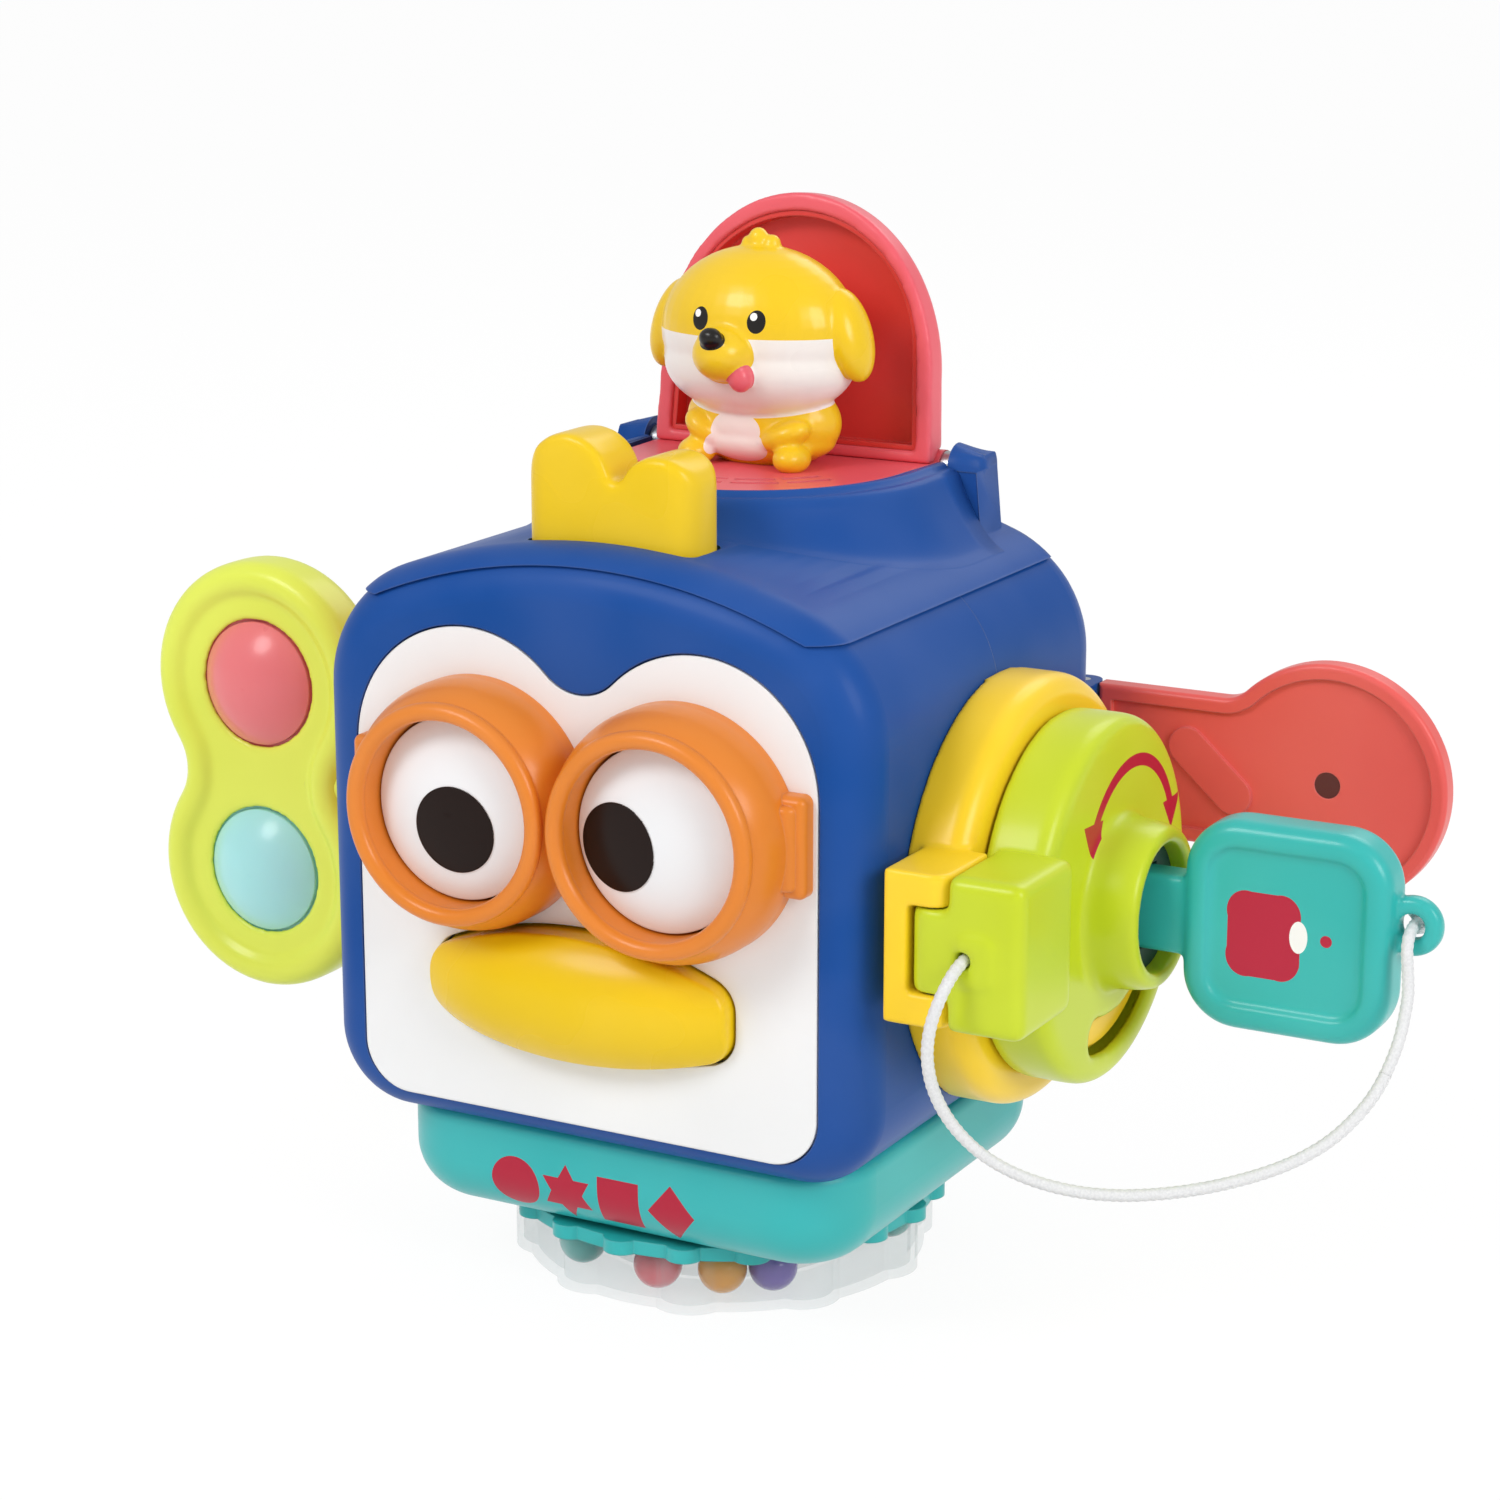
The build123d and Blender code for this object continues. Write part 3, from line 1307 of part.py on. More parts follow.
dish_front = fillet(dish_front.faces().sort_by(Axis.Y)[-1].edges(), key_dish_round)
ring_x = bow_start_x + key_bow_size + key_ring_offset
ring_z = axle_z + key_ring_rise
ring_place = facing_front(ring_x, ring_z, key_ring_thickness / 2)
key_ring = fillet(Cylinder(key_ring_radius, key_ring_thickness, align=middle).edges().filter_by(GeomType.CIRCLE),
                  key_ring_thickness / 3)
key = key_shaft + bow - dish_front - dish_front.mirror(Plane.XZ) + ring_place * key_ring
key = key - ring_place * Cylinder(key_ring_bore, key_ring_thickness, align=middle)
save("key", key)


# Cord from the hinge block to the key's ring
def rounded_path(points):
    """Straight runs joined by arcs that take a share of the shorter run."""
    points = [Vector(*point) for point in points]
    edges = []
    last = points[0]
    for before, corner, after in zip(points, points[1:], points[2:]):
        back = before - corner
        ahead = after - corner
        cut = cord_bend_share * min(back.length, ahead.length)
        half_angle = radians(back.get_angle(ahead)) / 2
        radius = cut * tan(half_angle)
        inward = (back.normalized() + ahead.normalized()).normalized()
        enter = corner + back.normalized() * cut
        leave = corner + ahead.normalized() * cut
        belly = corner + inward * (cut / cos(half_angle) - radius)
        edges.append(Line(last, enter))
        edges.append(ThreePointArc(enter, belly, leave))
        last = leave
    edges.append(Line(last, points[-1]))
    return Wire(edges)


def from_corner(place):
    """Point given from the body's lower left front corner of the centre plane."""
    x, forward, rise = place
    return (half_width + x, -forward, body_bottom_z + rise)


def cord_along(points):
    """Round cord along a rounded path."""
    path = rounded_path(points)
    return sweep(Plane(origin=path @ 0, z_dir=path % 0) * Circle(cord_diameter / 2), path)


cord_points = [(cord_x, block_front_y + cord_hole_depth / 2, cord_z)]
cord_points += [from_corner(place) for place in cord_route]
tail_point = Vector(*from_corner(tail_start))
last_run = (tail_point - Vector(*cord_points[-1])).normalized()
key_cord = cord_along(cord_points + [tuple(tail_point - last_run * tail_gap)])
save("key_cord", key_cord)
ring_centre = (ring_x, key_ring_thickness / 2, ring_z)
cord_tail = cord_along([tuple(tail_point)] + [from_corner(place) for place in tail_route] + [ring_centre])
knot_y = key_ring_thickness / 2 + sqrt(knot_radius ** 2 - knot_flat_radius ** 2)
cord_knot = Pos(ring_x, knot_y, ring_z) * Sphere(knot_radius)
cord_knot = cord_knot - rod((ring_x, 0, ring_z), (0, 1, 0), key_ring_radius, key_ring_thickness / 2)
save("cord_knot", cord_knot + cord_tail)

# Rear flap
flap_start_x = flap_hinge_x + flap_knuckle_radius + flap_root_gap
flap_plan = Pos((flap_start_x + flap_disc_x) / 2, flap_z) * Rectangle(
    flap_disc_x - flap_start_x, 2 * flap_half_height
) + Pos(flap_disc_x, flap_z) * Circle(flap_disc_radius)
flap_necks = flap_plan.vertices().filter_by(lambda v: v.X > flap_start_x + cut_overrun)
flap_plan = fillet(flap_necks, flap_fillet)
flap_front_y = flap_y - flap_thickness / 2
flap = extrude(front_plane(flap_y + flap_thickness / 2) * flap_plan, amount=flap_thickness)
flap = fillet(flap.faces().sort_by(Axis.Y)[0].edges() + flap.faces().sort_by(Axis.Y)[-1].edges(), flap_edge_round)
flap_sunk = offset(flap_plan, amount=-flap_rim)
flap = flap - extrude(front_plane(flap_front_y + flap_recess) * flap_sunk, amount=flap_recess)
flap_bar = Pos(half_width + flap_bar_x, flap_z) * Rot(Z=flap_bar_tilt) * SlotOverall(
    flap_bar_length, flap_bar_width
)
flap = flap + extrude(front_plane(flap_front_y + flap_recess) * flap_bar, amount=flap_bar_height)
flap = flap - rod((flap_disc_x, flap_front_y, flap_z), (0, 1, 0), flap_hole_radius, flap_thickness)
flap = flap + rod(
    (flap_hinge_x, flap_y, flap_z - flap_knuckle_half_height), (0, 0, 1), flap_knuckle_radius,
    2 * flap_knuckle_half_height,
)
flap = flap + block(
    (flap_hinge_x, flap_front_y, flap_z - flap_knuckle_half_height),
    (flap_start_x + flap_edge_round, flap_y + flap_thickness / 2, flap_z + flap_knuckle_half_height),
)
flap = flap - rod(
    (flap_hinge_x, flap_y, flap_z - flap_half_height), (0, 0, 1), flap_pin_radius + running_gap / 2,
    2 * flap_half_height,
)
save("rear_flap", flap)

# Puppy on the hatch floor
puppy_place = Pos(0, puppy_centre_y, floor_face_z)
head = egg((0, 0, head_rise), head_half_width, head_half_depth, head_half_height)
muzzle = egg((0, -muzzle_forward, muzzle_rise), muzzle_radius, muzzle_radius, muzzle_radius)
nose = egg((0, -nose_forward, nose_rise), nose_half_width, nose_half_depth, nose_half_height)
ear = Pos(ear_side, 0, ear_rise) * Rot(Y=-ear_tilt) * egg(
    (0, 0, 0), ear_half_width, ear_half_depth, ear_half_height
)
puppy_head = head + ear + ear.mirror(Plane.YZ) + muzzle + nose
for x, z, radius in tuft_lobes:
    puppy_head = puppy_head + Pos(x, tuft_back, head_rise + head_half_height + z) * Sphere(radius)
trunk = extrude(Ellipse(trunk_half_width, trunk_half_depth), amount=trunk_height)
trunk = fillet(trunk.faces().sort_by(Axis.Z)[-1].edges(), trunk_top_round)
trunk = fillet(trunk.faces().sort_by(Axis.Z)[0].edges(), trunk_bottom_round)
for side in (-1, 1):
    arm = Rot(X=arm_pitch) * Rot(Y=side * arm_tilt) * egg((0, 0, 0), arm_radius, arm_radius, arm_half_length)
    trunk = trunk + Pos(side * arm_side, -arm_forward, arm_rise) * arm
    foot = egg((0, 0, 0), foot_radius, foot_half_length, foot_radius)
    trunk = trunk + Pos(side * foot_side, -foot_forward, foot_radius - foot_sink) * foot
under = Pos(0, 0, -trunk_height) * Box(4 * trunk_half_width, 4 * trunk_half_width, trunk_height, align=middle)
puppy_body = trunk - under - head
save("puppy_body", puppy_place * puppy_body)
save("puppy_head", puppy_place * puppy_head)
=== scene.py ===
# %% [markdown]
# This lesson dresses a toddler's activity cube. The object is moulded in
# coloured ABS, stands on a clear bead drum, and carries a pop-up puppy, a
# push button, a paddle with two push bubbles, a toy lock and a folding flap.
# The hard shapes come from a CAD frame. The soft forms, the cord, the prints
# and the finishes are made here.

# %% The frame and its box
import math

import bmesh
import bpy
from mathutils import Matrix, Vector


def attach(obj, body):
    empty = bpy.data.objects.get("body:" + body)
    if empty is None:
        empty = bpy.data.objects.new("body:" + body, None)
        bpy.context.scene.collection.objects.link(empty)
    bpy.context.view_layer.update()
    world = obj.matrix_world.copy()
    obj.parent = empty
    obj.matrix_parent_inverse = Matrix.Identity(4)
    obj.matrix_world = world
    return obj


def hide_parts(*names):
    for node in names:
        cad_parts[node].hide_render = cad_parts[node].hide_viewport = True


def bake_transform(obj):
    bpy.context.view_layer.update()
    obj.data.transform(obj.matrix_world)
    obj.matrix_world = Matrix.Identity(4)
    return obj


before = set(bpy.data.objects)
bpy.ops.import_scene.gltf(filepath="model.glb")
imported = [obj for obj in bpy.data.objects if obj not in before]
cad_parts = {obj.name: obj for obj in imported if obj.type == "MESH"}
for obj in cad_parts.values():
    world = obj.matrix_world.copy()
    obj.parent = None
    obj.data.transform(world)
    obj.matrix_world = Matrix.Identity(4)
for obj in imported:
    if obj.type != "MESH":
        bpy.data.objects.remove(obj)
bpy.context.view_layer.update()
MM = 0.001

# %% [markdown]
# The camera looks at the lock's corner from a little above. Its angles and
# lens were fitted to the photograph, so every later piece can be compared
# with the picture directly.

# %% Camera
AIM = Vector((6.384, 0.0, 116.5)) * MM
TURN = math.radians(28.77)
LIFT = math.radians(14.606)
REACH = 790.65 * MM
back = Vector((
    math.sin(TURN) * math.cos(LIFT),
    -math.cos(TURN) * math.cos(LIFT),
    math.sin(LIFT),
))
lens_data = bpy.data.cameras.new("photo_camera")
lens_data.sensor_width = 36.0
lens_data.lens = 85.02
camera = bpy.data.objects.new("photo_camera", lens_data)
camera.location = AIM + back * REACH
camera.rotation_euler = (-back).to_track_quat("-Z", "Y").to_euler()
bpy.context.scene.collection.objects.link(camera)
bpy.context.scene.camera = camera
bpy.context.scene.view_settings.view_transform = "Standard"
print("camera at", [round(v, 3) for v in camera.location])

# %% [markdown]
# The key hangs on a white braided cord. It leaves the square eye on the lock's
# hinge block, sags, and comes up to the ring on the key. A smooth NURBS line
# through the same route as the hidden solid gives the way it lies.

# %% The cord's line
CORD_THICK = 2.7 * MM
CORD_ROUTE = [
    (88.4, -59.2, 97.4), (88.4, -67.0, 96.9), (84.0, -70.5, 81.5), (86.0, -66.0, 66.0),
    (96.0, -60.0, 54.0), (113.0, -51.0, 48.0), (133.0, -40.0, 49.5), (151.0, -29.0, 56.0),
    (160.5, -21.0, 66.5), (163.4, -14.2, 77.0), (163.0, -8.5, 84.0), (162.4, -5.7, 87.5),
    (161.2, -5.9, 98.9), (161.0, 2.2, 98.9),
]


def smooth_line(name, points_mm):
    """Points along a quadratic NURBS line with these control points."""
    curve = bpy.data.curves.new(name, "CURVE")
    curve.dimensions = "3D"
    curve.resolution_u = 24
    spline = curve.splines.new("NURBS")
    spline.points.add(len(points_mm) - 1)
    for point, place in zip(spline.points, points_mm):
        point.co = (*(Vector(place) * MM), 1.0)
    spline.order_u = 3
    spline.use_endpoint_u = True
    holder = bpy.data.objects.new(name, curve)
    mesh = bpy.data.meshes.new_from_object(holder)
    line = [v.co.copy() for v in mesh.vertices]
    bpy.data.meshes.remove(mesh)
    bpy.data.objects.remove(holder)
    bpy.data.curves.remove(curve)
    return line


def line_length(line):
    """Length of a line through these points."""
    return sum((b - a).length for a, b in zip(line, line[1:]))


cord_line = smooth_line("cord_line", CORD_ROUTE)
print("cord length", round(line_length(cord_line), 4), "m,", len(cord_line), "points")

# %% [markdown]
# Colours are written as sRGB hex values, as a designer picks them, and one
# function turns them into the linear numbers that Blender's shaders expect.
# A second small function adds a node to a material with its settings and
# links, so a whole material reads as a short list.

# %% Colours and nodes
def to_linear(hex_colour):
    """An sRGB hex colour as linear red, green, blue and alpha."""
    shares = [int(hex_colour[i:i + 2], 16) / 255 for i in (1, 3, 5)]
    return tuple(
        s / 12.92 if s <= 0.04045 else ((s + 0.055) / 1.055) ** 2.4 for s in shares
    ) + (1.0,)


def add_node(material, kind, inputs=None, **settings):
    """Adds a node; each input is a value or the output that feeds it."""
    node = material.node_tree.nodes.new(kind)
    for name, value in settings.items():
        setattr(node, name, value)
    for key, value in (inputs or {}).items():
        if isinstance(value, bpy.types.NodeSocket):
            material.node_tree.links.new(value, node.inputs[key])
        else:
            node.inputs[key].default_value = value
    return node


def blank(name):
    """An empty node material and its output node."""
    material = bpy.data.materials.new(name)
    material.use_nodes = True
    material.node_tree.nodes.clear()
    return material, add_node(material, "ShaderNodeOutputMaterial")


def per_metre(millimetres):
    """A noise scale whose features are about this size."""
    return 1000.0 / millimetres


print("royal blue is", [round(v, 3) for v in to_linear("#1F4A8F")[:3]])

# %% [markdown]
# Nearly everything is injection-moulded ABS. Its pigment drifts a little
# where the melt flowed, and the polished mould leaves a fine orange-peel.
# Edges catch light because no mould is knife-sharp. The Bevel node rounds
# the shading of the CAD's edges by 0.6 mm without changing them, and where
# it bends the shading the colour is painted lighter: a painted highlight.
# Real orange-peel is about 0.5 mm; here it is 1.5 mm, so that it shows.

# %% Moulded ABS
PIGMENT_DRIFT = 34.0
ORANGE_PEEL = 1.5
EDGE_ROUND = 0.6 * MM
ABS_IOR = 1.53


def darker(colour, share):
    """The colour with this share of its light."""
    return tuple(v * share for v in colour[:3]) + (1.0,)


def lighter(colour, share):
    """The colour taken this share of the way to white."""
    return tuple(v + (1.0 - v) * share for v in colour[:3]) + (1.0,)


def moulded(name, hex_colour, gloss=0.34, coat=0.06, shine=0.3, glow=0.0, prints=()):
    """Moulded ABS; each print is a mask maker and the ink's hex colour."""
    material, output = blank(name)
    place = add_node(material, "ShaderNodeTexCoord").outputs["Object"]
    base = to_linear(hex_colour)
    drift = add_node(material, "ShaderNodeTexNoise", {
        "Vector": place, "Scale": per_metre(PIGMENT_DRIFT), "Detail": 2.0,
    })
    flow = add_node(material, "ShaderNodeMapRange", {
        "Value": drift.outputs["Fac"], "From Min": 0.3, "From Max": 0.7,
    })
    pigment = add_node(material, "ShaderNodeMix", {
        0: flow.outputs["Result"], 6: darker(base, 0.96), 7: lighter(base, 0.02),
    }, data_type="RGBA")
    rounded = add_node(material, "ShaderNodeBevel", {"Radius": EDGE_ROUND}, samples=4)
    true_face = add_node(material, "ShaderNodeNewGeometry")
    bend = add_node(material, "ShaderNodeVectorMath", {
        0: rounded.outputs["Normal"], 1: true_face.outputs["Normal"],
    }, operation="DOT_PRODUCT")
    # Painted highlight: where the rounded shading bends, the colour is painted a quarter of the way to
    # white.
    painted_edge_highlight = add_node(material, "ShaderNodeMapRange", {
        "Value": bend.outputs["Value"], "From Min": 0.97, "From Max": 0.75,
        "To Min": 0.0, "To Max": 0.35,
    })
    colour = add_node(material, "ShaderNodeMix", {
        0: painted_edge_highlight.outputs["Result"], 6: pigment.outputs[2], 7: lighter(base, 0.25),
    }, data_type="RGBA").outputs[2]
    for mask_maker, ink in prints:
        colour = add_node(material, "ShaderNodeMix", {
            0: mask_maker(material, place), 6: colour, 7: to_linear(ink),
        }, data_type="RGBA").outputs[2]
    peel = add_node(material, "ShaderNodeTexNoise", {
        "Vector": place, "Scale": per_metre(ORANGE_PEEL), "Detail": 3.0,
    })
    bump = add_node(material, "ShaderNodeBump", {
        "Height": peel.outputs["Fac"], "Strength": 0.05, "Distance": 0.1 * MM,
        "Normal": rounded.outputs["Normal"],
    })
    haze = add_node(material, "ShaderNodeMapRange", {
        "Value": drift.outputs["Fac"], "To Min": gloss - 0.04, "To Max": gloss + 0.05,
    })
    surface = add_node(material, "ShaderNodeBsdfPrincipled", {
        "Base Color": colour, "Roughness": haze.outputs["Result"], "IOR": ABS_IOR,
        "Normal": bump.outputs["Normal"], "Specular IOR Level": shine,
        "Coat Weight": coat, "Coat Roughness": 0.12,
        "Subsurface Weight": glow, "Subsurface Scale": 4 * MM,
        "Subsurface Radius": (1.0, 0.7, 0.5),
    })
    material.node_tree.links.new(surface.outputs["BSDF"], output.inputs["Surface"])
    return material


# %% [markdown]
# Eyes, muzzle and patches are sprayed through masks on the real toy. A mask
# here is an egg-shaped region of space: whatever surface lies inside it takes
# the paint. The masks use object coordinates, so they travel with the piece.

# %% Spray masks
def egg(centre_mm, halves_mm, tilt_deg=0.0):
    """Mask of 1 inside an egg at this place, tilted about the Y axis."""
    def mask(material, place):
        local = add_node(material, "ShaderNodeMapping", {
            "Vector": place,
            "Location": Vector(centre_mm) * MM,
            "Rotation": (0.0, math.radians(tilt_deg), 0.0),
            "Scale": Vector(halves_mm) * MM,
        }, vector_type="TEXTURE")
        reach = add_node(material, "ShaderNodeVectorMath", {0: local.outputs["Vector"]}, operation="LENGTH")
        return add_node(material, "ShaderNodeMath", {
            0: reach.outputs["Value"], 1: 1.0,
        }, operation="LESS_THAN").outputs["Value"]
    return mask


def short_of(direction, reach_mm):
    """Mask of 1 up to a plane square to this direction."""
    def mask(material, place):
        along = add_node(material, "ShaderNodeVectorMath", {0: place, 1: direction}, operation="DOT_PRODUCT")
        return add_node(material, "ShaderNodeMath", {
            0: along.outputs["Value"], 1: reach_mm * MM,
        }, operation="LESS_THAN").outputs["Value"]
    return mask


def both(first, second):
    """Mask of 1 where both masks are 1."""
    def mask(material, place):
        return add_node(material, "ShaderNodeMath", {
            0: first(material, place), 1: second(material, place),
        }, operation="MULTIPLY").outputs["Value"]
    return mask


def outside(inner):
    """Mask of 1 where the other is 0."""
    def mask(material, place):
        return add_node(material, "ShaderNodeMath", {
            0: 1.0, 1: inner(material, place),
        }, operation="SUBTRACT").outputs["Value"]
    return mask


def stencil(corners_mm, across, facing):
    """Mask of a convex outline, cut on the side that faces this way.

    The corners are (across, up) pairs, counter-clockwise as seen from the
    front, and the stencil reaches 6 mm in from the plane that it faces."""
    mask = short_of(tuple(-v for v in facing[0]), 6.0 - facing[1])
    for (u0, v0), (u1, v1) in zip(corners_mm, corners_mm[1:] + corners_mm[:1]):
        span = math.hypot(u1 - u0, v1 - v0)
        out_u, out_v = (v1 - v0) / span, (u0 - u1) / span
        direction = tuple(out_u * a + out_v * b for a, b in zip(across, (0.0, 0.0, 1.0)))
        mask = both(mask, short_of(direction, out_u * u0 + out_v * v0))
    return mask


def either(first, second):
    """Mask of 1 where one of the masks is 1."""
    def mask(material, place):
        return add_node(material, "ShaderNodeMath", {
            0: first(material, place), 1: second(material, place),
        }, operation="MAXIMUM").outputs["Value"]
    return mask


PUPIL_DEEP = 400.0
PRINT_DEEP = 40.0
INK_BLACK = "#231815"
left_pupil = egg((-23.7, -68.0, 112.3), (9.5, PUPIL_DEEP, 9.5))
right_pupil = egg((15.7, -68.0, 113.8), (9.5, PUPIL_DEEP, 9.5))
print("masks ready")

# %% [markdown]
# Three places carry flat prints: four plain shapes on the tray, a turning
# arrow on the lock's face, and a plain blob with an oval and a dot on the
# key. A stencil is a mask with straight sides, cut a few millimetres deep.

# %% Flat prints
INK_CRIMSON = "#B81436"
TRAY_FRONT = ((0.0, -1.0, 0.0), 54.5)
DOOR_FRONT = ((1.0, 0.0, 0.0), 96.5)
KEY_FRONT = ((0.0, -1.0, 0.0), 8.0)
TO_RIGHT = (1.0, 0.0, 0.0)
TO_REAR = (0.0, 1.0, 0.0)
SHAPE_MIDDLE_Z = 26.4
SHAPE_HALF = 5.9
SHAPE_PITCH = 13.2
FIRST_SHAPE_X = -23.2


def shape_x(index):
    """Middle of one of the tray's four shapes."""
    return FIRST_SHAPE_X + SHAPE_PITCH * index


def block_stencil(left, low, right, high, across=TO_RIGHT, facing=TRAY_FRONT):
    """A stencil with four square corners."""
    return stencil([(left, low), (right, low), (right, high), (left, high)], across, facing)


def three_sided(x, point_up):
    """A triangle about this place, pointing up or down."""
    sign = 1 if point_up else -1
    tip = (x, SHAPE_MIDDLE_Z + sign * (SHAPE_HALF + 0.9))
    left = (x - SHAPE_HALF, SHAPE_MIDDLE_Z - sign * 3.4)
    right = (x + SHAPE_HALF, SHAPE_MIDDLE_Z - sign * 3.4)
    return stencil([left, right, tip] if point_up else [right, left, tip], TO_RIGHT, TRAY_FRONT)


tray_disc = both(
    egg((shape_x(0), -54.0, SHAPE_MIDDLE_Z), (SHAPE_HALF + 0.2, 8.0, SHAPE_HALF + 0.4)),
    short_of((0.0, 1.0, 0.0), -48.0),
)
tray_star = either(three_sided(shape_x(1), True), three_sided(shape_x(1), False))
tray_square = block_stencil(shape_x(2) - 5.2, SHAPE_MIDDLE_Z - 5.6, shape_x(2) + 5.2, SHAPE_MIDDLE_Z + 5.6)
tray_diamond = stencil([
    (shape_x(3) - 5.8, SHAPE_MIDDLE_Z), (shape_x(3), SHAPE_MIDDLE_Z - 6.8),
    (shape_x(3) + 5.8, SHAPE_MIDDLE_Z), (shape_x(3), SHAPE_MIDDLE_Z + 6.8),
], TO_RIGHT, TRAY_FRONT)
tray_prints = [(mask, INK_CRIMSON) for mask in (tray_disc, tray_star, tray_square, tray_diamond)]

ARROW_CENTRE = (95.5, 7.0, 99.7)
ARROW_OUTER = 25.2
ARROW_INNER = 22.4
bow = both(egg(ARROW_CENTRE, (PRINT_DEEP, ARROW_OUTER, ARROW_OUTER)),
           outside(egg(ARROW_CENTRE, (PRINT_DEEP, ARROW_INNER, ARROW_INNER))))
bow = both(bow, stencil([(-18.0, 113.2), (33.0, 109.0), (33.0, 128.0), (-18.0, 128.0)], TO_REAR, DOOR_FRONT))
left_head = stencil([(-13.6, 105.6), (-8.4, 114.4), (-18.4, 114.9)], TO_REAR, DOOR_FRONT)
right_head = stencil([(29.6, 103.4), (34.4, 110.6), (24.6, 110.2)], TO_REAR, DOOR_FRONT)
arrow = both(either(bow, either(left_head, right_head)), short_of((1.0, 0.0, 0.0), 96.1))
arrow_prints = [(arrow, INK_CRIMSON)]

KEY_FACE_ONLY = short_of((0.0, 1.0, 0.0), -2.0)
blob = either(
    block_stencil(122.4, 87.4, 138.4, 98.6, facing=KEY_FRONT),
    block_stencil(126.0, 84.0, 134.8, 102.4, facing=KEY_FRONT),
)
for corner_x, corner_z in ((126.4, 88.4), (134.2, 88.4), (126.4, 98.0), (134.2, 98.0)):
    blob = either(blob, egg((corner_x, -6.0, corner_z), (4.3, 8.0, 4.6)))
key_prints = [
    (both(blob, KEY_FACE_ONLY), INK_CRIMSON),
    (both(egg((138.0, -6.0, 94.0), (2.0, 8.0, 3.5)), KEY_FACE_ONLY), "#F6F4F2"),
    (both(egg((144.0, -6.0, 94.0), (1.3, 8.0, 1.3)), KEY_FACE_ONLY), INK_CRIMSON),
]
print("flat prints:", len(tray_prints) + len(arrow_prints) + len(key_prints))

# %% [markdown]
# The puppy is one yellow figure with sprayed parts: white cheeks under a
# level line, a white belly patch, black eyes and nose, a pink tongue. Its
# forms are eggs, and the same eggs say where the paint goes, so the ears and
# the muzzle stay yellow and the nose is black all over.

# %% The puppy's eggs and paint
FLOOR_TOP_Z = 178.7
HEAD_Y = 16.3
HEAD_Z = 207.6
PUPPY_EGGS = {
    "skull": ((0.0, HEAD_Y, HEAD_Z + 0.6), (23.2, 16.6, 18.8), 0.0),
    "jowls": ((0.0, HEAD_Y - 0.2, HEAD_Z - 6.4), (22.6, 16.2, 12.4), 0.0),
    "right_ear": ((22.0, HEAD_Y + 0.5, HEAD_Z + 0.8), (4.6, 6.6, 10.6), -17.0),
    "left_ear": ((-22.0, HEAD_Y + 0.5, HEAD_Z + 0.8), (4.6, 6.6, 10.6), 17.0),
    "muzzle": ((-0.4, HEAD_Y - 15.2, HEAD_Z - 2.8), (7.0, 8.0, 6.2), 0.0),
    "nose": ((-0.2, HEAD_Y - 22.0, HEAD_Z + 1.4), (2.8, 2.1, 2.3), 0.0),
    "tongue": ((4.4, HEAD_Y - 17.2, HEAD_Z - 7.6), (2.8, 2.6, 3.3), -14.0),
    "tuft_middle": ((-0.4, HEAD_Y, HEAD_Z + 20.6), (2.3, 2.2, 2.6), 0.0),
    "tuft_right": ((2.9, HEAD_Y, HEAD_Z + 19.6), (2.1, 2.0, 2.2), 20.0),
    "tuft_left": ((-2.8, HEAD_Y, HEAD_Z + 19.4), (1.6, 1.8, 1.9), -20.0),
    "trunk": ((0.0, HEAD_Y + 1.9, FLOOR_TOP_Z + 9.2), (18.8, 10.8, 11.0), 0.0),
    "hips": ((0.0, HEAD_Y + 1.7, FLOOR_TOP_Z + 5.4), (17.6, 10.6, 6.0), 0.0),
    "right_arm": ((9.8, HEAD_Y - 6.4, FLOOR_TOP_Z + 7.4), (6.4, 4.2, 3.1), -22.0),
    "left_arm": ((-10.8, HEAD_Y - 6.0, FLOOR_TOP_Z + 7.8), (5.2, 4.2, 3.1), 40.0),
    "right_foot": ((12.0, HEAD_Y - 7.4, FLOOR_TOP_Z + 2.6), (4.1, 5.2, 3.3), 0.0),
    "left_foot": ((-12.0, HEAD_Y - 7.4, FLOOR_TOP_Z + 2.6), (4.1, 5.2, 3.3), 0.0),
}


def painted(name, margin=0.4):
    """The egg-shaped mask of one of the puppy's forms, a little larger."""
    centre, halves, tilt = PUPPY_EGGS[name]
    return egg(centre, tuple(h + margin for h in halves), tilt)


SPRAY_WHITE = "#F6F0EA"
SPRAY_BLACK = "#120D0B"
SPRAY_PINK = "#EA6470"
cheeks = both(short_of((0.0, 0.0, 1.0), HEAD_Z + 0.7), short_of((0.0, 0.0, -1.0), 0.6 - HEAD_Z + 18.4))
for form in ("right_ear", "left_ear", "muzzle"):
    cheeks = both(cheeks, outside(painted(form)))
cheeks = both(cheeks, either(painted("jowls", 0.8), painted("skull", 0.8)))
puppy_paint = [
    (cheeks, SPRAY_WHITE), (painted("nose", 0.5), SPRAY_BLACK), (painted("tongue", 0.35), SPRAY_PINK),
    (egg((-1.6, HEAD_Y - 8.4, FLOOR_TOP_Z + 8.2), (6.2, 6.0, 4.2)), SPRAY_WHITE),
    (egg((-1.5, HEAD_Y - 8.4, FLOOR_TOP_Z + 4.4), (7.7, 6.0, 4.2)), SPRAY_WHITE),
]
for eye_x, eye_half in ((-6.5, 2.2), (7.4, 2.2)):
    eye_spot = egg((eye_x, HEAD_Y - 17.0, HEAD_Z + 4.6), (eye_half, 5.0, 2.7))
    glint = egg((eye_x - 0.7, HEAD_Y - 17.0, HEAD_Z + 5.6), (0.85, 5.0, 0.9))
    puppy_paint += [(eye_spot, SPRAY_BLACK), (glint, "#FFFFFF")]
print("puppy forms:", len(PUPPY_EGGS), "sprayed regions:", len(puppy_paint))

# %% [markdown]
# Each CAD node gets the finish of the piece that it stands for. Pieces made
# in one shot of the same colour share one material.

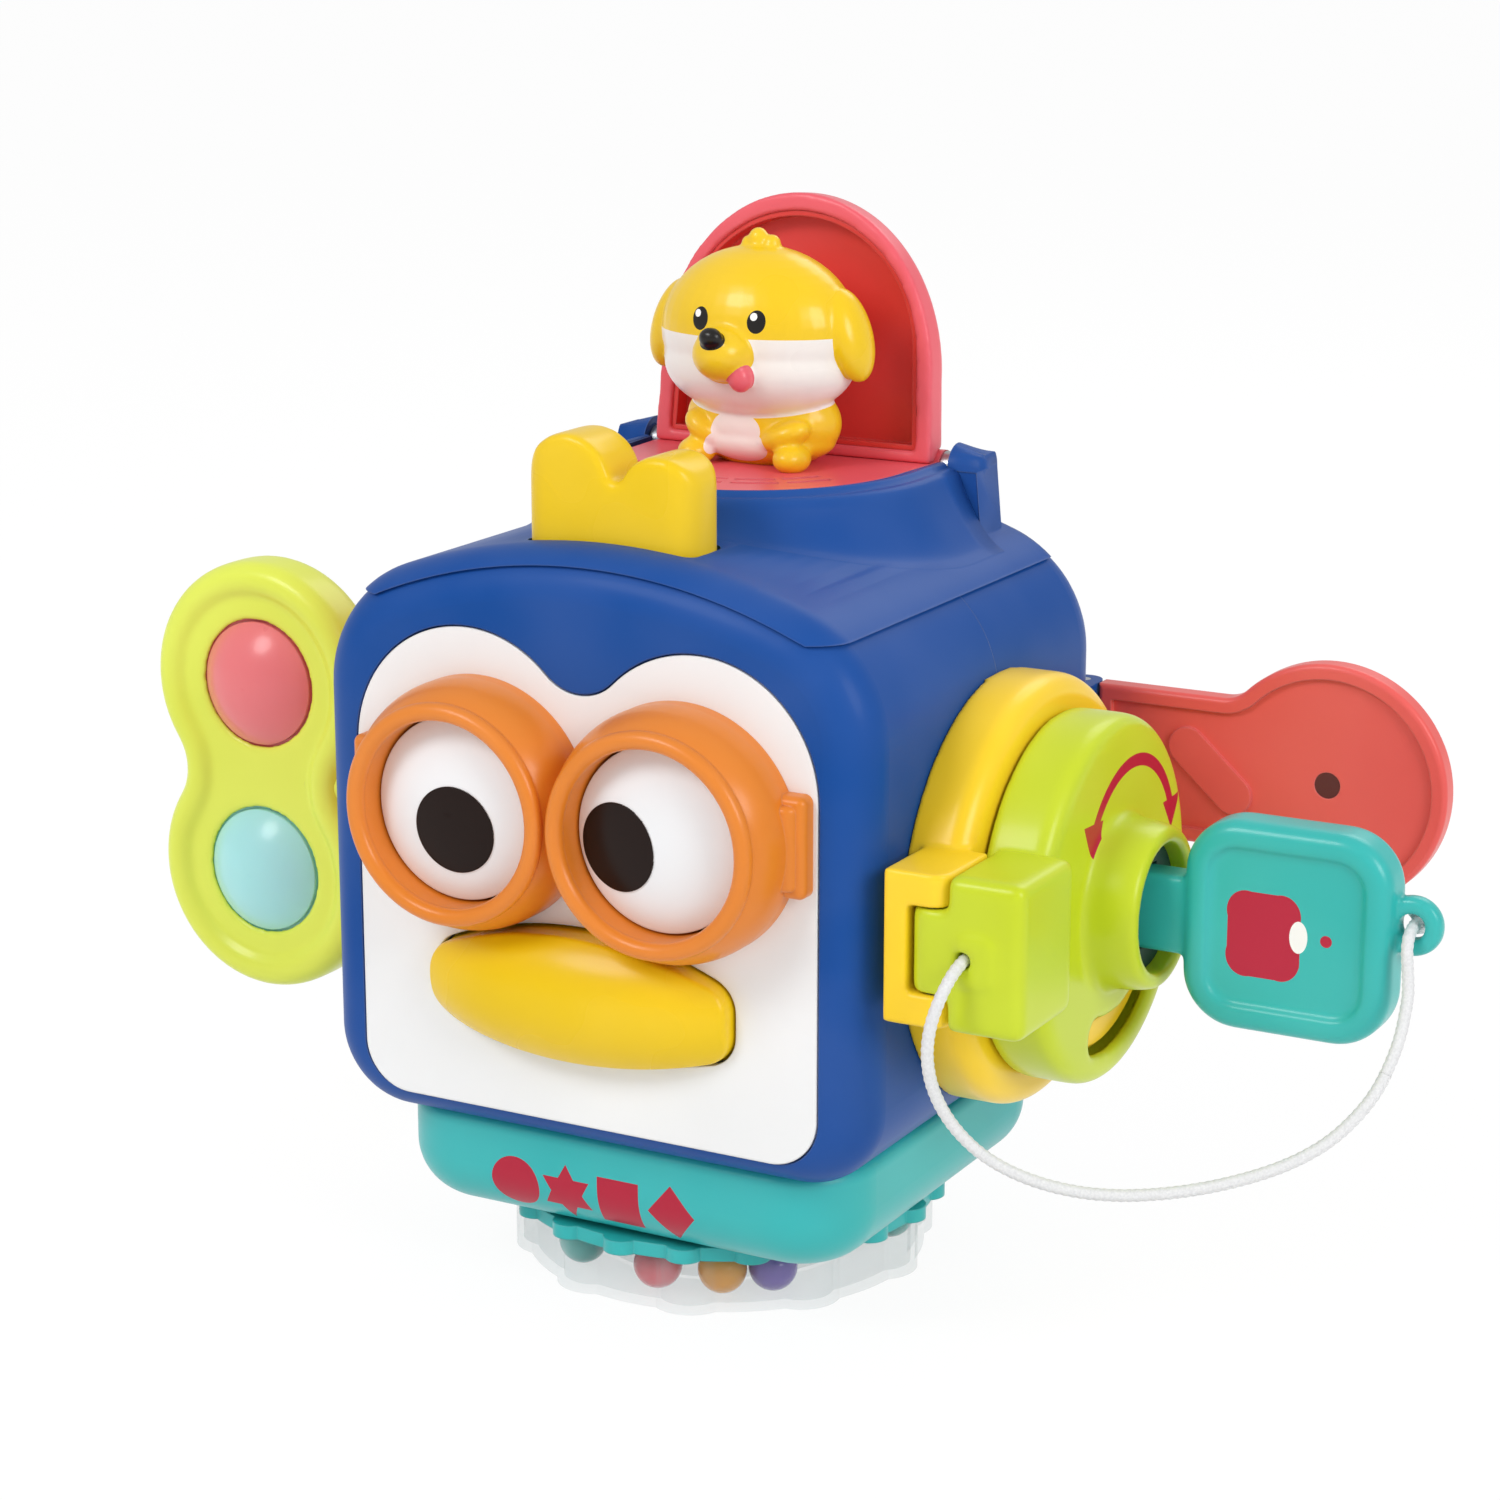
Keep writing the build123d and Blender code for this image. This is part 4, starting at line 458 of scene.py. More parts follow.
# %% Finishes of the mouldings
finishes = {
    "royal_blue_abs": moulded("royal_blue_abs", "#0E4B9A", gloss=0.38, coat=0.02, shine=0.1),
    "white_abs": moulded("white_abs", "#F2F3F4", gloss=0.38, coat=0.03, shine=0.2),
    "orange_abs": moulded("orange_abs", "#E48220", gloss=0.3),
    "left_eye_abs": moulded(
        "left_eye_abs", "#F1F2F4", gloss=0.3, coat=0.02, shine=0.1, prints=[(left_pupil, INK_BLACK)],
    ),
    "right_eye_abs": moulded(
        "right_eye_abs", "#F1F2F4", gloss=0.3, coat=0.02, shine=0.1, prints=[(right_pupil, INK_BLACK)],
    ),
    "beak_yellow_abs": moulded("beak_yellow_abs", "#F0C800", gloss=0.27, coat=0.05, shine=0.22),
    "puppy_yellow_abs": moulded("puppy_yellow_abs", "#F6CB12", gloss=0.28, coat=0.15, prints=puppy_paint),
    "amber_yellow_abs": moulded("amber_yellow_abs", "#FFD418", gloss=0.3),
    "lime_abs": moulded("lime_abs", "#C8D81C", gloss=0.3, prints=arrow_prints),
    "lime_paddle_abs": moulded("lime_paddle_abs", "#E6F056", gloss=0.3),
    "teal_abs": moulded("teal_abs", "#2DB8B8", gloss=0.32),
    "tray_teal_abs": moulded("tray_teal_abs", "#2DB8B8", gloss=0.32, prints=tray_prints),
    "key_teal_abs": moulded("key_teal_abs", "#2BB5B0", gloss=0.3, coat=0.15, prints=key_prints),
    # The rotor is dark teal plastic, painted darker still: painted shade for the deep recess it sits in.
    "dark_teal_abs": moulded("dark_teal_abs", "#1B4A40", gloss=0.45, coat=0.0, shine=0.15),
    "coral_abs": moulded("coral_abs", "#EE5F6C", gloss=0.32),
    "deep_red_abs": moulded("deep_red_abs", "#E03C38", gloss=0.34),
    # Painted shade: a near-black red disc that stands for the depth of the flap's hole.
    "painted_hole_shade": moulded("painted_hole_shade", "#5A1616", gloss=0.5, coat=0.0),
    "flap_red_abs": moulded("flap_red_abs", "#EC5C56", gloss=0.32),
    "bubble_red_silicone": moulded("bubble_red_silicone", "#EE7A7E", gloss=0.28, coat=0.2, glow=0.15),
    "bubble_teal_silicone": moulded("bubble_teal_silicone", "#AAE8E8", gloss=0.28, coat=0.2, glow=0.15),
    "bead_teal_acrylic": moulded("bead_teal_acrylic", "#1FA7A0", gloss=0.15, coat=0.6),
    "bead_coral_acrylic": moulded("bead_coral_acrylic", "#E8606A", gloss=0.15, coat=0.6),
    "bead_amber_acrylic": moulded("bead_amber_acrylic", "#F2A01E", gloss=0.15, coat=0.6),
    "bead_violet_acrylic": moulded("bead_violet_acrylic", "#7A5BB5", gloss=0.15, coat=0.6),
    "natural_abs": moulded("natural_abs", "#DADCDE", gloss=0.5, coat=0.0),
    "grey_rubber": moulded("grey_rubber", "#C2C6C9", gloss=0.6, coat=0.0),
}
print("finishes:", len(finishes))

# %% [markdown]
# Screws, pins and springs are zinc-plated steel: grey, metallic, with a fine
# brushed streak. The drum is thin clear ABS, so most light goes straight
# through it and only what is seen at a slant shows as pale grey.

# %% Plated steel and clear plastic
STREAK = 0.8
RIPPLE = 6.0
CLEAR_IOR = 1.49


def plated(name, hex_colour):
    """Plated steel with a fine brushed streak."""
    material, output = blank(name)
    place = add_node(material, "ShaderNodeTexCoord").outputs["Object"]
    streak = add_node(material, "ShaderNodeTexNoise", {
        "Vector": place, "Scale": per_metre(STREAK), "Detail": 4.0,
    })
    tone = add_node(material, "ShaderNodeMix", {
        0: streak.outputs["Fac"], 6: darker(to_linear(hex_colour), 0.8), 7: to_linear(hex_colour),
    }, data_type="RGBA")
    haze = add_node(material, "ShaderNodeMapRange", {
        "Value": streak.outputs["Fac"], "To Min": 0.25, "To Max": 0.45,
    })
    surface = add_node(material, "ShaderNodeBsdfPrincipled", {
        "Base Color": tone.outputs[2], "Metallic": 1.0, "Roughness": haze.outputs["Result"],
    })
    material.node_tree.links.new(surface.outputs["BSDF"], output.inputs["Surface"])
    return material


def clear(name, hex_colour):
    """Thin clear plastic: nearly all passes straight through, and rims show."""
    material, output = blank(name)
    place = add_node(material, "ShaderNodeTexCoord").outputs["Object"]
    ripple = add_node(material, "ShaderNodeTexNoise", {
        "Vector": place, "Scale": per_metre(RIPPLE), "Detail": 1.0,
    })
    tint = add_node(material, "ShaderNodeMix", {
        0: ripple.outputs["Fac"], 6: to_linear(hex_colour), 7: lighter(to_linear(hex_colour), 0.4),
    }, data_type="RGBA")
    haze = add_node(material, "ShaderNodeMapRange", {
        "Value": ripple.outputs["Fac"], "To Min": 0.08, "To Max": 0.14,
    })
    skin = add_node(material, "ShaderNodeBsdfPrincipled", {
        "Base Color": tint.outputs[2], "Roughness": haze.outputs["Result"], "IOR": CLEAR_IOR,
    })
    straight = add_node(material, "ShaderNodeBsdfTransparent", {"Color": (0.985, 0.99, 0.99, 1.0)})
    slant = add_node(material, "ShaderNodeLayerWeight", {"Blend": 0.35})
    solid = add_node(material, "ShaderNodeMapRange", {
        "Value": slant.outputs["Facing"], "To Min": 0.03, "To Max": 0.3,
    })
    surface = add_node(material, "ShaderNodeMixShader", {
        0: solid.outputs["Result"], 1: straight.outputs["BSDF"], 2: skin.outputs["BSDF"],
    })
    material.node_tree.links.new(surface.outputs["Shader"], output.inputs["Surface"])
    return material


finishes["zinc_plated_steel"] = plated("zinc_plated_steel", "#B8BCC0")
finishes["clear_abs"] = clear("clear_abs", "#DDE2E6")

# %% [markdown]
# One table says which moulding is made of which plastic. The record names
# each piece's material slot, and every piece keeps that name.

# %% Dress the CAD nodes
dress = {
    "royal_blue_abs": ("front_shell", "rear_shell", "top_cover"),
    "white_abs": ("face_plate",),
    "orange_abs": ("goggle_frame",),
    "left_eye_abs": ("eye_left",),
    "right_eye_abs": ("eye_right",),
    "beak_yellow_abs": ("beak", "top_button"),
    "puppy_yellow_abs": ("puppy_head", "puppy_body"),
    "amber_yellow_abs": ("lock_base",),
    "lime_abs": ("lock_door",),
    "lime_paddle_abs": ("wing_front", "wing_back", "wing_axle"),
    "teal_abs": ("spinner_ring",),
    "tray_teal_abs": ("base_tray",),
    "key_teal_abs": ("key",),
    "dark_teal_abs": ("lock_rotor",),
    "coral_abs": ("hatch_lid", "hatch_floor"),
    "deep_red_abs": ("hatch_liner", "side_panel"),
    "flap_red_abs": ("rear_flap",),
    "bubble_red_silicone": ("bubble_top",),
    "bubble_teal_silicone": ("bubble_bottom",),
    "bead_teal_acrylic": ("beads_teal",),
    "bead_coral_acrylic": ("beads_coral",),
    "bead_amber_acrylic": ("beads_amber",),
    "bead_violet_acrylic": ("beads_violet",),
    "natural_abs": ("beak_bridge", "eye_clip_left", "eye_clip_right", "wing_clip", "spinner_pivot"),
    "grey_rubber": ("squeaker_bellows",),
    "clear_abs": ("spinner_drum",),
    "zinc_plated_steel": (
        "hatch_pins", "hatch_spring", "flap_pin", "lock_hinge_pin", "housing_screws", "base_screws",
        "button_spring",
    ),
}
SMOOTH_BELOW = math.radians(34)
for finish, members in dress.items():
    for member in members:
        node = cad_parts[member]
        node.data.materials.clear()
        node.data.materials.append(finishes[finish])
dressed = {m for members in dress.values() for m in members}
print("dressed", len(dressed), "nodes; left over:", sorted(set(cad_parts) - dressed))

# %% [markdown]
# Toys like this have generous soft edges. A moulded form here is made by
# putting solids together, wrapping them in one skin, and letting the skin
# relax, which rounds the edges and fills the inner corners as a mould does.

# %% Soft forms
def add_egg(solid, centre_mm, halves_mm, tilt_deg=0.0):
    """Adds an egg to a bmesh, tilted about the Y axis."""
    place = (
        Matrix.Translation(Vector(centre_mm) * MM)
        @ Matrix.Rotation(math.radians(tilt_deg), 4, "Y")
        @ Matrix.Diagonal((*(Vector(halves_mm) * MM), 1.0))
    )
    bmesh.ops.create_uvsphere(solid, u_segments=40, v_segments=24, radius=1.0, matrix=place)


def add_node_mesh(solid, name, reshape=None):
    """Adds a CAD node's form to a bmesh; reshape may move a point."""
    start = len(solid.verts)
    solid.from_mesh(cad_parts[name].data)
    solid.verts.ensure_lookup_table()
    for vert in solid.verts[start:]:
        if reshape:
            vert.co = Vector(reshape(*(vert.co / MM))) * MM


def crisp_form(name, solid, body, finish):
    """The solids in a bmesh as one piece with clean edges, riding on a body."""
    bmesh.ops.remove_doubles(solid, verts=solid.verts, dist=0.002 * MM)
    mesh = bpy.data.meshes.new(name)
    solid.to_mesh(mesh)
    solid.free()
    mesh.shade_smooth()
    mesh.set_sharp_from_angle(angle=SMOOTH_BELOW)
    mesh.materials.clear()
    mesh.materials.append(finishes[finish])
    piece = bpy.data.objects.new(name, mesh)
    bpy.context.scene.collection.objects.link(piece)
    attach(piece, body)
    return piece


def soft_form(name, solid, body, finish, skin_mm, relax):
    """One relaxed skin round the solids in a bmesh, riding on a body."""
    piece = crisp_form(name, solid, body, finish)
    wrap = piece.modifiers.new("one_skin", "REMESH")
    wrap.mode = "VOXEL"
    wrap.voxel_size = skin_mm * MM
    soften = piece.modifiers.new("soft_edges", "SMOOTH")
    soften.factor = 0.5
    soften.iterations = relax
    skin = bpy.data.meshes.new_from_object(piece.evaluated_get(bpy.context.evaluated_depsgraph_get()))
    piece.modifiers.clear()
    piece.data = skin
    skin.shade_smooth()
    return piece


puppy = bmesh.new()
for centre, halves, tilt in PUPPY_EGGS.values():
    add_egg(puppy, centre, halves, tilt)
puppy = soft_form("puppy_figure", puppy, "hatch", "puppy_yellow_abs", skin_mm=0.5, relax=6)
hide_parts("puppy_head", "puppy_body")
print("puppy skin:", len(puppy.data.vertices), "points")

# %% [markdown]
# The push button is a soft crown: a tall hump on the left, a shallow dip and
# a lower hump on the right. It keeps its stem and flange in the cover's slot.

# %% The crown button
BUTTON_LOW_Z = 164.0
HUMPS = ((-9.9, 183.4, 10.6), (12.0, 181.6, 9.2))
DIP_Z = 184.4
BUTTON_HALF = 20.6
BUTTON_MIDDLE_Y = -43.4
BUTTON_HALF_DEPTH = 7.6
BUTTON_CORNER = 5.6
CROWN_STEPS = 120


def crown_height(x):
    """Top of the crown at x, as two round humps joined by a dip."""
    tops = []
    for centre, hump_z, radius in HUMPS:
        away = min(1.0, abs(x - centre) / radius)
        tops.append(hump_z + radius * math.sqrt(1.0 - away * away))
    between = DIP_Z if HUMPS[0][0] < x < HUMPS[1][0] else 0.0
    return max(*tops, between)


def crown_half_depth(x):
    """Half the button's depth at x, drawn in round its corners."""
    into_corner = max(0.0, abs(x) - (BUTTON_HALF - BUTTON_CORNER))
    return BUTTON_HALF_DEPTH - BUTTON_CORNER + math.sqrt(BUTTON_CORNER ** 2 - into_corner ** 2)


crown = bmesh.new()
columns = [-BUTTON_HALF * math.cos(math.pi * step / CROWN_STEPS) for step in range(CROWN_STEPS + 1)]
rows = []
for way in (-1, 1):
    top, low = [], []
    for x in columns:
        y = BUTTON_MIDDLE_Y + way * crown_half_depth(x)
        top.append(crown.verts.new(Vector((x, y, crown_height(x))) * MM))
        low.append(crown.verts.new(Vector((x, y, BUTTON_LOW_Z)) * MM))
    rows.append((top, low))
(front_top, front_low), (rear_top, rear_low) = rows
for left in range(CROWN_STEPS):
    right = left + 1
    crown.faces.new((front_low[left], front_low[right], front_top[right], front_top[left]))
    crown.faces.new((rear_top[left], rear_top[right], rear_low[right], rear_low[left]))
    crown.faces.new((front_top[left], front_top[right], rear_top[right], rear_top[left]))
    crown.faces.new((rear_low[left], rear_low[right], front_low[right], front_low[left]))
for end in (0, CROWN_STEPS):
    crown.faces.new((front_top[end], rear_top[end], rear_low[end], front_low[end]))
bmesh.ops.recalc_face_normals(crown, faces=crown.faces)
crown = soft_form("crown_button", crown, "top_button", "beak_yellow_abs", skin_mm=0.6, relax=55)
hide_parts("top_button")
print("button skin:", len(crown.data.vertices), "points")

# %% [markdown]
# The lock's door and base, its key and the hatch lid get the same relaxed
# skin as the puppy. The door's boss is drawn in and stands further out, so
# that it flares from the face.

# %% The lock, key and hatch lid
LOCK_Z = 94.5
DOOR_FACE_X = 95.5
BOSS_INNER = 16.5
BOSS_OUTER = 25.4
BOSS_DRAW = 0.8
BOSS_FRONT = 4.0
BOSS_REACH = 3.0


def flared_boss(x, y, z):
    """Draws the boss in by a fifth and brings its front 3 mm out."""
    radius = math.hypot(y, z - LOCK_Z)
    if x > DOOR_FACE_X - 0.1 and BOSS_INNER < radius < BOSS_OUTER:
        y, z = y * BOSS_DRAW, LOCK_Z + (z - LOCK_Z) * BOSS_DRAW
    if x > DOOR_FACE_X + BOSS_FRONT and radius < BOSS_OUTER:
        x += BOSS_REACH
    return x, y, z


door = bmesh.new()
add_node_mesh(door, "lock_door", flared_boss)
door = soft_form("door_moulding", door, "lock_door", "lime_abs", skin_mm=0.65, relax=26)
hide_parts("lock_door")
bow_key = bmesh.new()
add_node_mesh(bow_key, "key")
bow_key = soft_form("key_moulding", bow_key, "key", "key_teal_abs", skin_mm=0.45, relax=24)
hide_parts("key")
lid = bmesh.new()
add_node_mesh(lid, "hatch_lid")
lid = soft_form("hatch_lid_moulding", lid, "hatch", "coral_abs", skin_mm=0.5, relax=12)
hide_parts("hatch_lid")
lock_foot = bmesh.new()
add_node_mesh(lock_foot, "lock_base")
lock_foot = soft_form(
    "lock_base_moulding", lock_foot, "root", "amber_yellow_abs", skin_mm=0.6, relax=8,
)
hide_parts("lock_base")
print("door skin:", len(door.data.vertices), "points")

# %% [markdown]
# The door has a curved slot, and a yellow rib on the base shows in it. The
# rib is one section carried round an arc.

# %% The rib behind the slot
SLOT_RADIUS = 29.5
SLOT_FILL_HALF = 3.6
SLOT_FROM = math.radians(-103)
SLOT_TO = math.radians(-53)
FILL_BACK_X = 84.0
FILL_FRONT_X = 92.0
FILL_EDGE = 1.0
FILL_STEPS = 32
fill = bmesh.new()
fill_sections = []
for step in range(FILL_STEPS + 1):
    turn = SLOT_FROM + (SLOT_TO - SLOT_FROM) * step / FILL_STEPS
    fill_sections.append([
        fill.verts.new(Vector((x, radius * math.cos(turn), LOCK_Z + radius * math.sin(turn))) * MM)
        for x, radius in (
            (FILL_BACK_X, SLOT_RADIUS - SLOT_FILL_HALF),
            (FILL_FRONT_X - FILL_EDGE, SLOT_RADIUS - SLOT_FILL_HALF),
            (FILL_FRONT_X, SLOT_RADIUS - SLOT_FILL_HALF + FILL_EDGE),
            (FILL_FRONT_X, SLOT_RADIUS + SLOT_FILL_HALF - FILL_EDGE),
            (FILL_FRONT_X - FILL_EDGE, SLOT_RADIUS + SLOT_FILL_HALF),
            (FILL_BACK_X, SLOT_RADIUS + SLOT_FILL_HALF),
        )
    ])
for near, far in zip(fill_sections, fill_sections[1:]):
    for k in range(6):
        fill.faces.new((near[k], near[(k + 1) % 6], far[(k + 1) % 6], far[k]))
for end in (0, -1):
    fill.faces.new(fill_sections[end])
bmesh.ops.recalc_face_normals(fill, faces=fill.faces)
crisp_form("lock_slot_rib", fill, "root", "amber_yellow_abs")
print("rib sections:", len(fill_sections))

# %% [markdown]
# The hole in the flap looks dark and deep on the real toy. Here a thin dark
# disc closes it just behind its rim. Its near-black red is painted shade for
# the hole's depth, and it sits so close because the peg on the back shell
# comes into the hole when the flap is folded over.

# %% The flap's hole
FLAP_HOLE = (120.3, 60.6, 108.8)
FLAP_HOLE_RADIUS = 3.1
FLAP_HOLE_DEPTH = 0.6
cup = bmesh.new()
bmesh.ops.create_cone(
    cup, cap_ends=True, segments=40,
    radius1=FLAP_HOLE_RADIUS * MM, radius2=FLAP_HOLE_RADIUS * MM, depth=FLAP_HOLE_DEPTH * MM,
    matrix=Matrix.Translation(Vector(FLAP_HOLE) * MM) @ Matrix.Rotation(math.radians(90), 4, "X"),
)
crisp_form("flap_hole_back", cup, "rear_flap", "painted_hole_shade")
print("flap hole closed at", FLAP_HOLE)

# %% [markdown]
# The paddle has two lobes joined by a waist, and a raised rim runs round it
# on both faces. The rim is a tube along the outline, and one relaxed skin
# joins it to the two halves of the paddle.

# %% The paddle
PADDLE_X = -125.0
LOBE_OFFSET = 23.2
LOBE_RADIUS = 29.5
WAIST_RADIUS = 12.0
RIM_TUBE = 4.3
RIM_STAND = 3.5
RIM_STEPS = 40
TUBE_SIDES = 20


def paddle_rim_line(inset, y):
    """Points round the paddle, this far inside its outline."""
    reach = math.sqrt((LOBE_RADIUS + WAIST_RADIUS) ** 2 - LOBE_OFFSET ** 2)
    join = math.atan2(LOBE_OFFSET, reach)
    runs = (
        (0.0, LOBE_OFFSET, LOBE_RADIUS - inset, -join, math.pi + join),
        (-reach, 0.0, WAIST_RADIUS + inset, join, -join),
        (0.0, -LOBE_OFFSET, LOBE_RADIUS - inset, math.pi - join, 2 * math.pi + join),
        (reach, 0.0, WAIST_RADIUS + inset, math.pi + join, math.pi - join),
    )
    line = []
    for x, z, radius, start, stop in runs:
        for step in range(RIM_STEPS):
            turn = start + (stop - start) * step / RIM_STEPS
            line.append(Vector((
                PADDLE_X + x + radius * math.cos(turn), y, LOCK_Z + z + radius * math.sin(turn),
            )) * MM)
    return line


def add_loop_tube(solid, line, radius_mm):
    """Adds a closed tube round a flat loop that faces along Y."""
    rings = []
    for index, point in enumerate(line):
        ahead = (line[(index + 1) % len(line)] - line[index - 1]).normalized()
        side = ahead.cross(Vector((0.0, 1.0, 0.0)))
        rings.append([solid.verts.new(point + radius_mm * MM * (
            side * math.cos(turn) + Vector((0.0, 1.0, 0.0)) * math.sin(turn)
        )) for turn in (2 * math.pi * k / TUBE_SIDES for k in range(TUBE_SIDES))])
    for index, ring in enumerate(rings):
        after = rings[(index + 1) % len(rings)]
        for k in range(TUBE_SIDES):
            near = (k + 1) % TUBE_SIDES
            solid.faces.new((ring[k], ring[near], after[near], after[k]))


paddle = bmesh.new()
add_node_mesh(paddle, "wing_front")
add_node_mesh(paddle, "wing_back")
for y in (-RIM_STAND, RIM_STAND):
    add_loop_tube(paddle, paddle_rim_line(RIM_TUBE, y), RIM_TUBE)
bmesh.ops.recalc_face_normals(paddle, faces=paddle.faces)
paddle = soft_form("paddle_moulding", paddle, "wing", "lime_paddle_abs", skin_mm=0.65, relax=16)
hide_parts("wing_front", "wing_back")
print("paddle skin:", len(paddle.data.vertices), "points")

# %% [markdown]
# The cover rises to the hatch in one sweep. A bead runs round the opening,
# and below it the wall curves out until it is level with the cover.

# %% The cover's flare
OPENING_HALF = 35.5
OPENING_CROWN = 37.5
LEG_FRONT_Y = 15.7
HINGE_FRONT_Y = 31.0
COVER_TOP_Z = 171.8
CROWN_RADIUS = 140.0
SHOULDER_RADIUS = 28.0
SHOULDER_X = 39.0
BEAD_PROFILE = (
    (1.7, 179.3), (2.7, 179.5), (3.4, 179.1), (3.9, 178.3), (4.8, 178.2), (5.7, 178.0), (6.6, 177.2),
)
FRONT_REACH = 12.0
SIDE_REACH = 18.0
FLARE_STEPS = 12
FLARE_CURVE = 2.3
FOOT_DEPTH = 2.0
OPENING_STEPS = 60
LUG_X = 47.0
LUG_DRAWN_X = 46.2
LUG_TOP_Z = 181.0


def cover_height(x):
    """Top of the cover at x: a wide crown that turns into a round shoulder."""
    crown_z = COVER_TOP_Z - CROWN_RADIUS
    join_x = SHOULDER_X * CROWN_RADIUS / (CROWN_RADIUS - SHOULDER_RADIUS)
    if abs(x) < join_x:
        return crown_z + math.sqrt(CROWN_RADIUS ** 2 - x * x)
    shoulder_z = crown_z + math.sqrt((CROWN_RADIUS - SHOULDER_RADIUS) ** 2 - SHOULDER_X ** 2)
    return shoulder_z + math.sqrt(max(0.0, SHOULDER_RADIUS ** 2 - (abs(x) - SHOULDER_X) ** 2))


def opening_line():
    """Points round the front of the opening, each with its way outwards."""
    leg_middle_y = (HINGE_FRONT_Y + LEG_FRONT_Y) / 2
    line = [(OPENING_HALF, HINGE_FRONT_Y, 1.0, 0.0), (OPENING_HALF, leg_middle_y, 1.0, 0.0)]
    for step in range(OPENING_STEPS + 1):
        turn = math.pi * step / OPENING_STEPS
        out_x, out_y = math.cos(turn), -math.sin(turn)
        line.append((OPENING_HALF * out_x, LEG_FRONT_Y + OPENING_CROWN * out_y, out_x, out_y))
    return line + [(-OPENING_HALF, leg_middle_y, -1.0, 0.0), (-OPENING_HALF, HINGE_FRONT_Y, -1.0, 0.0)]


def flare_section(x, y, out_x, out_y):
    """The bead, the concave wall and the hidden foot at one place."""
    section = [(x + out_x * grow, y + out_y * grow, z) for grow, z in BEAD_PROFILE]
    start, bead_z = BEAD_PROFILE[-1]
    reach = FRONT_REACH + (SIDE_REACH - FRONT_REACH) * abs(out_x)
    for step in range(1, FLARE_STEPS + 1):
        share = step / FLARE_STEPS
        grow = start + (reach - start) * share
        level = cover_height(x + out_x * grow)
        z = level + (bead_z - level) * (1 - share) ** FLARE_CURVE
        section.append((x + out_x * grow, y + out_y * grow, z))
    foot_z = cover_height(x + out_x * reach) - FOOT_DEPTH
    return section + [(x + out_x * reach, y + out_y * reach, foot_z), (*section[0][:2], foot_z)]


def low_lug(x, y, z):
    """Takes the hinge lugs in and down at their outer corners."""
    if abs(x) > LUG_X and z > COVER_TOP_Z:
        x = math.copysign(LUG_DRAWN_X, x)
        z = min(z, LUG_TOP_Z)
    return x, y, z


flare = bmesh.new()
add_node_mesh(flare, "top_cover", low_lug)
sections = [
    [flare.verts.new(Vector(point) * MM) for point in flare_section(*place)] for place in opening_line()
]
for near, far in zip(sections, sections[1:]):
    for k in range(len(near)):
        after = (k + 1) % len(near)
        flare.faces.new((near[k], near[after], far[after], far[k]))
for end in (0, -1):
    flare.faces.new(sections[end])
bmesh.ops.recalc_face_normals(flare, faces=flare.faces)
cover = crisp_form("cover_moulding", flare, "root", "royal_blue_abs")
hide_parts("top_cover")
print("cover skin:", len(cover.data.vertices), "points")

# %% [markdown]
# The key's cord is a white braid of polyester. A real braid has strands that
# cross over and under in two spirals. Its surface is a tube whose wall swells
# where a strand comes up and dips where it dives, which two crossed waves
# give. The strands are about 0.9 mm wide, a little coarse, so that they show.

# %% Braided cord
CORD_SIDES = 20
BRAID_STRANDS = 5
BRAID_PITCH = 6.5 * MM
BRAID_DEPTH = 0.22
END_RUN = 36 * MM
CORD_STEP = 0.45 * MM


def braid_tube(name, line, start_at=0.0, thick=CORD_THICK):
    """A mesh tube of crossing strands along these points."""
    tube = bmesh.new()
    rings = []
    side = None
    walked = start_at
    for index, point in enumerate(line):
        before = line[max(index - 1, 0)]
        after = line[min(index + 1, len(line) - 1)]
        if index:
            walked += (point - before).length
        ahead = (after - before).normalized()
        side = ahead.orthogonal() if side is None else side - ahead * side.dot(ahead)
        side.normalize()
        up = ahead.cross(side)
        ring = []
        for step in range(CORD_SIDES):
            turn = 2 * math.pi * step / CORD_SIDES
            spiral = 2 * math.pi * walked / BRAID_PITCH
            swell = math.sin(BRAID_STRANDS * turn + spiral * 2) * math.sin(BRAID_STRANDS * turn - spiral * 2)
            radius = thick / 2 * (1 - BRAID_DEPTH / 2 + BRAID_DEPTH / 2 * swell)
            ring.append(tube.verts.new(point + (side * math.cos(turn) + up * math.sin(turn)) * radius))
        rings.append(ring)
    for low, high in zip(rings, rings[1:]):
        for step in range(CORD_SIDES):
            after = (step + 1) % CORD_SIDES
            tube.faces.new((low[step], low[after], high[after], high[step]))
    tube.faces.new(list(reversed(rings[0])))
    tube.faces.new(rings[-1])
    bmesh.ops.recalc_face_normals(tube, faces=tube.faces)
    mesh = bpy.data.meshes.new(name)
    tube.to_mesh(mesh)
    tube.free()
    mesh.shade_smooth()
    piece = bpy.data.objects.new(name, mesh)
    bpy.context.scene.collection.objects.link(piece)
    return piece


def evenly(line, step):
    """The same line at even steps."""
    total = line_length(line)
    count = max(2, round(total / step))
    made = [line[0].copy()]
    walked = 0.0
    target = total / count
    for a, b in zip(line, line[1:]):
        run = (b - a).length
        while len(made) < count and walked + run >= target * len(made):
            made.append(a.lerp(b, (target * len(made) - walked) / run))
        walked += run
    made.append(line[-1].copy())
    return made


even_line = evenly(cord_line, CORD_STEP)
end_count = round(END_RUN / CORD_STEP)
long_run = even_line[:-end_count]
end_run = even_line[-end_count - 1:]
cord_body = braid_tube("cord_long_run", long_run)
cord_tail = braid_tube("cord_ring_end", end_run, start_at=line_length(long_run))
print("runs", round(line_length(long_run), 4), round(line_length(end_run), 4))
